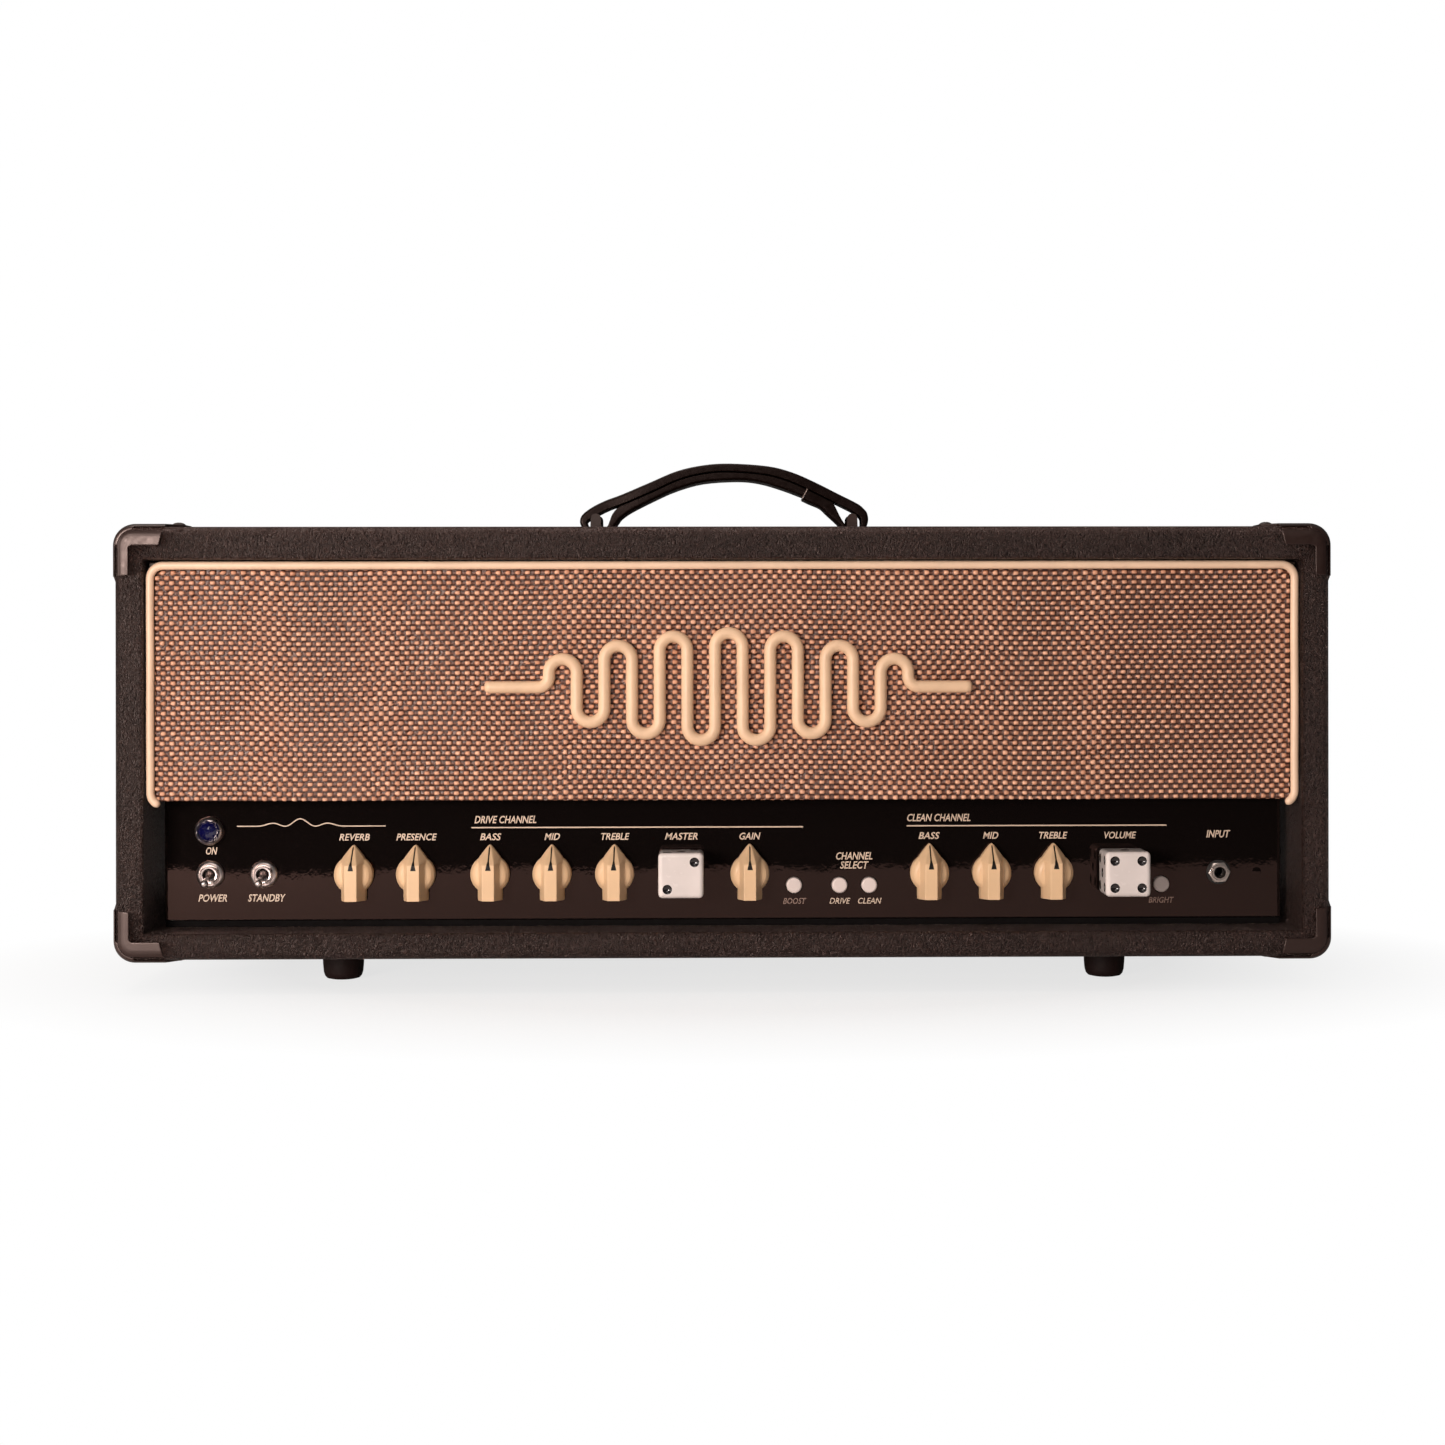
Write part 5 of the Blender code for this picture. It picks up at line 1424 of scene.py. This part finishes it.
def make_rear_sockets(mats):
    wall = TRAY_HIGH.y
    low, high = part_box("rear_jack_strip")
    z = (low.z + high.z) / 2
    first, last = low.x + 0.014, high.x - 0.014
    nuts = []
    for x in np.linspace(first, last, 5):
        here = at(x, wall, z, BACK)
        ring = [
            (0.0052, 0.0001), (0.0074, 0.0001), (0.0075, 0.0006), (0.0052, 0.0009), (0.0052, 0.0001)
        ]
        nuts.append(moved(turned(ring, 40), here))
        nuts.append(
            moved(hexagon(0.0125, 0.0009, 0.0036, 0.0052), here @ Matrix.Rotation(x * 9, 4, "Z"))
        )
    piece("rear_socket_nuts", joined(nuts), mats["nickel"], smooth=30)
    paint("rear_jack_strip", mats["black_plastic"])
    make_inlet(mats)
    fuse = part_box("fuse_holder")
    centre = (fuse[0] + fuse[1]) / 2
    cap = [(0, -0.025), (0.0060, -0.025), (0.0060, 0), (0.0084, 0), (0.0085, 0.0018), (0.0072, 0.0022)]
    cap += [(0.0069, 0.0026), (0.0068, 0.0088), (0.0062, 0.0097), (0.0056, 0.0099), (0, 0.0099)]

    def ribbed(angle, height):
        return 1 + (0.035 * math.cos(20 * angle) if 0.0024 < height < 0.0090 else 0)

    slot = box_mesh((-0.0050, -0.0006, 0.0086), (0.0050, 0.0006, 0.0120))
    mesh = solve(turned(cap, 120, ribbed), ("DIFFERENCE", slot), mats=[mats["black_plastic"]])
    place = at(centre.x, wall + GAP, centre.z, BACK)
    piece(
        "fuse_cap", mesh, mats["black_plastic"], place=place,
        replaces=["fuse_holder"], smooth=35
    )
    screws = []
    for x in (TRAY_LOW.x + 0.012, -0.14, 0.0, 0.25, TRAY_HIGH.x - 0.012):
        screws.append(pan_head(0.0030, 0.0016, at(x, wall, TRAY_HIGH.z - 0.009, BACK), x * 50))
    piece("chassis_screws", joined(screws), mats["nickel"], smooth=30)


def make_inlet(mats):
    """A mains inlet with three flat pins and its two fixing screws."""
    low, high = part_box("mains_inlet")
    centre = (low + high) / 2
    frame["nodes"]["mains_inlet"].data.shade_smooth()
    paint("mains_inlet", mats["black_plastic"])
    pins = []
    for dx, dz in ((-0.0070, -0.0020), (0.0070, -0.0020), (0.0, 0.0020)):
        pins.append(rounded_box((centre.x + dx - 0.0010, high.y - 0.0145, centre.z + dz - 0.0020),
                                (centre.x + dx + 0.0010, high.y - 0.0020, centre.z + dz + 0.0020),
                                0.0004, 2))
    piece("inlet_pins", joined(pins), mats["nickel"], smooth=40)
    heads = [
        pan_head(0.0028, 0.0014, at(centre.x + dx, high.y, centre.z, BACK), dx * 60)
        for dx in (-0.0200, 0.0200)
    ]
    piece("inlet_screws", joined(heads), mats["nickel"], smooth=30)


def make_tubes(mats):
    """Glass power tubes with their plates inside, standing in their sockets."""
    for side in ("left", "right"):
        low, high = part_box(f"power_tube_{side}")
        centre = (low + high) / 2
        place = at(centre.x, centre.y, low.z)
        outer = [
            (0.0148, 0.0130), (0.0150, 0.0180), (0.0150, 0.0560), (0.0146, 0.0660), (0.0136, 0.0740)
        ]
        outer += [(0.0118, 0.0800), (0.0090, 0.0840), (0.0050, 0.0864), (0, 0.0870)]
        inner = [(max(0, r - 0.0009) if r else 0, h - 0.0009) for r, h in reversed(outer)]
        glass = turned([*outer, *inner, outer[0]], 48)
        piece(f"tube_glass_{side}", glass, mats["glass"], place=place,
              replaces=[f"power_tube_{side}"], smooth=60)
        base = [(0, 0), (0.0155, 0), (0.0163, 0.0008), (0.0163, 0.0118), (0.0155, 0.0128), (0, 0.0128)]
        piece(
            f"tube_base_{side}", turned(base, 48), mats["black_plastic"],
            place=place
        )
        plates = [rounded_box((-0.0095, -0.0055, 0.020), (0.0095, 0.0055, 0.062), 0.0025, 3)]
        plates += [rounded_box((-0.0125, -0.0006, 0.024), (0.0125, 0.0006, 0.058), 0.0004, 2)]
        plates += [turned([(0, 0.0635), (0.0110, 0.0635), (0.0110, 0.0640), (0, 0.0640)], 32)]
        plates += [turned([(0, 0.0182), (0.0110, 0.0182), (0.0110, 0.0187), (0, 0.0187)], 32)]
        plates += [
            turned([(0, 0.0660), (0.0055, 0.0660), (0.0060, 0.0680), (0.0052, 0.0684), (0, 0.0684)], 24)
        ]
        piece(f"tube_plates_{side}", joined(plates), mats["dark_metal"], place=place)
        paint(f"power_tube_socket_{side}", mats["black_plastic"])


def make_cans(mats):
    for number in (1, 2, 3):
        low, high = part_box(f"preamp_tube_can_{number}")
        centre = (low + high) / 2
        can = [
            (0, 0), (0.0118, 0), (0.0122, 0.0012), (0.0115, 0.0030), (0.0115, 0.0400),
            (0.0118, 0.0408)
        ]
        can += [
            (0.0115, 0.0416), (0.0113, 0.0445), (0.0100, 0.0484), (0.0075, 0.0498), (0.0050, 0.0500)
        ]
        can += [(0.0044, 0.0490), (0, 0.0488)]
        piece(f"shield_can_{number}", turned(can, 48), mats["aluminium"],
              place=at(centre.x, centre.y, low.z), replaces=[f"preamp_tube_can_{number}"], smooth=35)


def make_transformers(mats):
    for name in ("mains", "output"):
        low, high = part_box(f"{name}_transformer")
        centre = (low + high) / 2
        half_core = (high.y - low.y) * 0.42 / 2
        core = rounded_box(
            (low.x, centre.y - half_core, low.z), (high.x, centre.y + half_core, high.z), 0.0006, 2
        )
        piece(f"{name}_core", core, mats["laminations"],
              replaces=[f"{name}_transformer"], smooth=30)
        inset = 0.012
        covers = []
        for y_low, y_high in ((low.y, centre.y - half_core), (centre.y + half_core, high.y)):
            bell = box_mesh(
                (low.x + inset, y_low, low.z + inset), (high.x - inset, y_high, high.z - inset)
            )
            bmesh.ops.bevel(
                bell, geom=bell.edges, offset=0.009, segments=5, profile=0.5, affect="EDGES"
            )
            covers.append(bell)
        piece(f"{name}_bell_covers", joined(covers), mats["enamel"], smooth=50)
        bolts = []
        for x in (low.x + 0.006, high.x - 0.006):
            for z in (low.z + 0.006, high.z - 0.006):
                bolts.append(
                    moved(hexagon(0.0070, 0, 0.0030, 0.0016), at(x, centre.y + half_core, z, BACK))
                )
                bolts.append(pan_head(0.0033, 0.0018, at(x, centre.y - half_core, z, FRONT)))
        piece(f"{name}_bolts", joined(bolts), mats["nickel"], smooth=30)


def make_springs(mats):
    """Three coiled springs stretched across the reverb pan."""
    low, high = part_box("reverb_tank")
    y = low.y + 0.014
    shapes = []
    for row in (-1, 0, 1):
        z = (low.z + high.z) / 2 + row * 0.026
        turns, radius, wire = 60, 0.0024, 0.00035
        x_low, x_high = low.x + 0.040, high.x - 0.040
        count = turns * 8
        path = []
        for i in range(count + 1):
            a = 2 * math.pi * i / 8
            along = x_low + (x_high - x_low) * i / count
            path.append(Vector((along, y + radius * math.cos(a), z + radius * math.sin(a))))
        rings = []
        for i, point in enumerate(path):
            ahead = (path[min(i + 1, count)] - path[max(i - 1, 0)]).normalized()
            out = Vector((0, point.y - y, point.z - z)).normalized()
            side = ahead.cross(out)
            ring = [
                point + wire * (math.cos(a) * out + math.sin(a) * side)
                for a in np.linspace(0, 2 * math.pi, 5)[:-1]
            ]
            rings.append(ring)
        shapes.append(loft(rings))
    piece("reverb_springs", joined(shapes), mats["nickel"], smooth=80)


def make_chassis(mats):
    paint("chassis_tray", mats["steel"])
    paint("reverb_tank", mats["steel"])
    paint("pot_board", mats["board"])
    make_rear_sockets(mats)
    make_tubes(mats)
    make_cans(mats)
    make_transformers(mats)
    make_springs(mats)


# ---------------------------------------------------------------- camera, light and floor


def add_camera():
    """The photograph's angle: almost square on, level with the cloth, 1.3 m in front of the cabinet."""
    turn, roll = math.radians(0.913), math.radians(0.081)
    camera = bpy.data.cameras.new("camera")
    camera.sensor_width, camera.lens = 36.0, 57.925
    camera.shift_x, camera.shift_y = -0.0254, -0.0571
    obj = bpy.data.objects.new("camera", camera)
    obj.location = (-0.0013, -1.425, 0.1973)
    obj.rotation_euler = (math.pi / 2, roll, -turn)
    bpy.context.scene.collection.objects.link(obj)
    bpy.context.scene.camera = obj


def add_area(name, location, target, size, power, colour=(1, 1, 1)):
    light = bpy.data.lights.new(name, "AREA")
    light.shape, light.size, light.size_y = "RECTANGLE", size[0], size[1]
    light.energy, light.color = power, colour
    obj = bpy.data.objects.new(name, light)
    obj.location = location
    aim = Vector(target) - Vector(location)
    obj.rotation_euler = aim.to_track_quat("-Z", "Y").to_euler()
    bpy.context.scene.collection.objects.link(obj)


def add_studio():
    warm = (1.0, 0.90, 0.84)
    add_area("key", (-0.92, -1.75, 0.32), (-0.2, 0, 0.16), (0.45, 0.42), 29, warm)
    add_area("front", (-0.1, -2.3, 1.6), (0.1, 0, 0.12), (1.0, 0.8), 8, warm)
    add_area("side", (-1.5, -0.35, 0.30), (-0.34, 0, 0.16), (0.7, 0.7), 7, warm)
    add_area("top", (-0.3, 0.1, 1.5), (-0.1, 0, 0.2), (1.2, 1.0), 9, warm)
    world = bpy.data.worlds.new("studio")
    bpy.context.scene.world = world
    world.use_nodes = True
    tree = world.node_tree
    background = tree.nodes["Background"]
    # The camera sees white. Everything else sees a dim room that is brighter overhead.
    path = tree.nodes.new("ShaderNodeLightPath")
    split = tree.nodes.new("ShaderNodeSeparateXYZ")
    tree.links.new(tree.nodes.new("ShaderNodeTexCoord").outputs["Generated"], split.inputs[0])
    room = tree.nodes.new("ShaderNodeMapRange")
    for socket, value in (("From Min", -0.05), ("From Max", 1.0), ("To Min", 0.02), ("To Max", 0.22)):
        room.inputs[socket].default_value = value
    tree.links.new(split.outputs["Z"], room.inputs["Value"])
    shown = tree.nodes.new("ShaderNodeMix")
    shown.data_type = "RGBA"
    tree.links.new(path.outputs["Is Camera Ray"], shown.inputs["Factor"])
    tree.links.new(room.outputs["Result"], shown.inputs[6])
    shown.inputs[7].default_value = (1.0, 1.0, 1.0, 1.0)
    tree.links.new(shown.outputs[2], background.inputs["Color"])
    bpy.context.scene.view_settings.view_transform = "Standard"


def make_floor_material():
    """Pale paper, nearly white to the camera, that fades into the background away from the object."""
    g = Graph("floor_pale", base_color=(0.80, 0.78, 0.77), roughness=0.8)
    spread = g.node("VectorMath", {0: g.place, 1: (1.35, 1.9, 1.0)}, operation="MULTIPLY").outputs[0]
    distance = g.node("VectorMath", {0: spread}, operation="LENGTH").outputs["Value"]
    seen = g.node("LightPath").outputs["Is Camera Ray"]
    share = g.math("MULTIPLY", g.fit(distance, 0.36, 0.66, 0.74, 1.0), seen)
    glow = g.node("Emission", {"Color": (1.0, 1.0, 1.0, 1.0), "Strength": 1.0})
    both = g.node("MixShader", {0: share, 1: g.shader.outputs[0], 2: glow.outputs[0]})
    g.tree.links.new(both.outputs[0], g.tree.nodes["Material Output"].inputs["Surface"])
    return g.mat


def add_floor():
    bm = prism([(-3.0, -0.50), (3.0, -1.06), (3.0, 3.0), (-3.0, 3.0)], -0.02, 0.0)
    floor = bpy.data.objects.new("floor", mesh_of(bm, "floor"))
    floor.data.materials.append(make_floor_material())
    bpy.context.scene.collection.objects.link(floor)


def main():
    add_camera()
    mats = make_materials()
    make_sleeve(mats)
    make_corners(mats)
    make_feet(mats)
    make_handle(mats)
    make_grille(mats)
    make_panel(mats)
    make_knobs(mats)
    make_buttons(mats)
    make_lamp(mats)
    make_toggles(mats)
    make_jack(mats)
    make_back(mats)
    make_chassis(mats)
    add_floor()
    add_studio()


main()
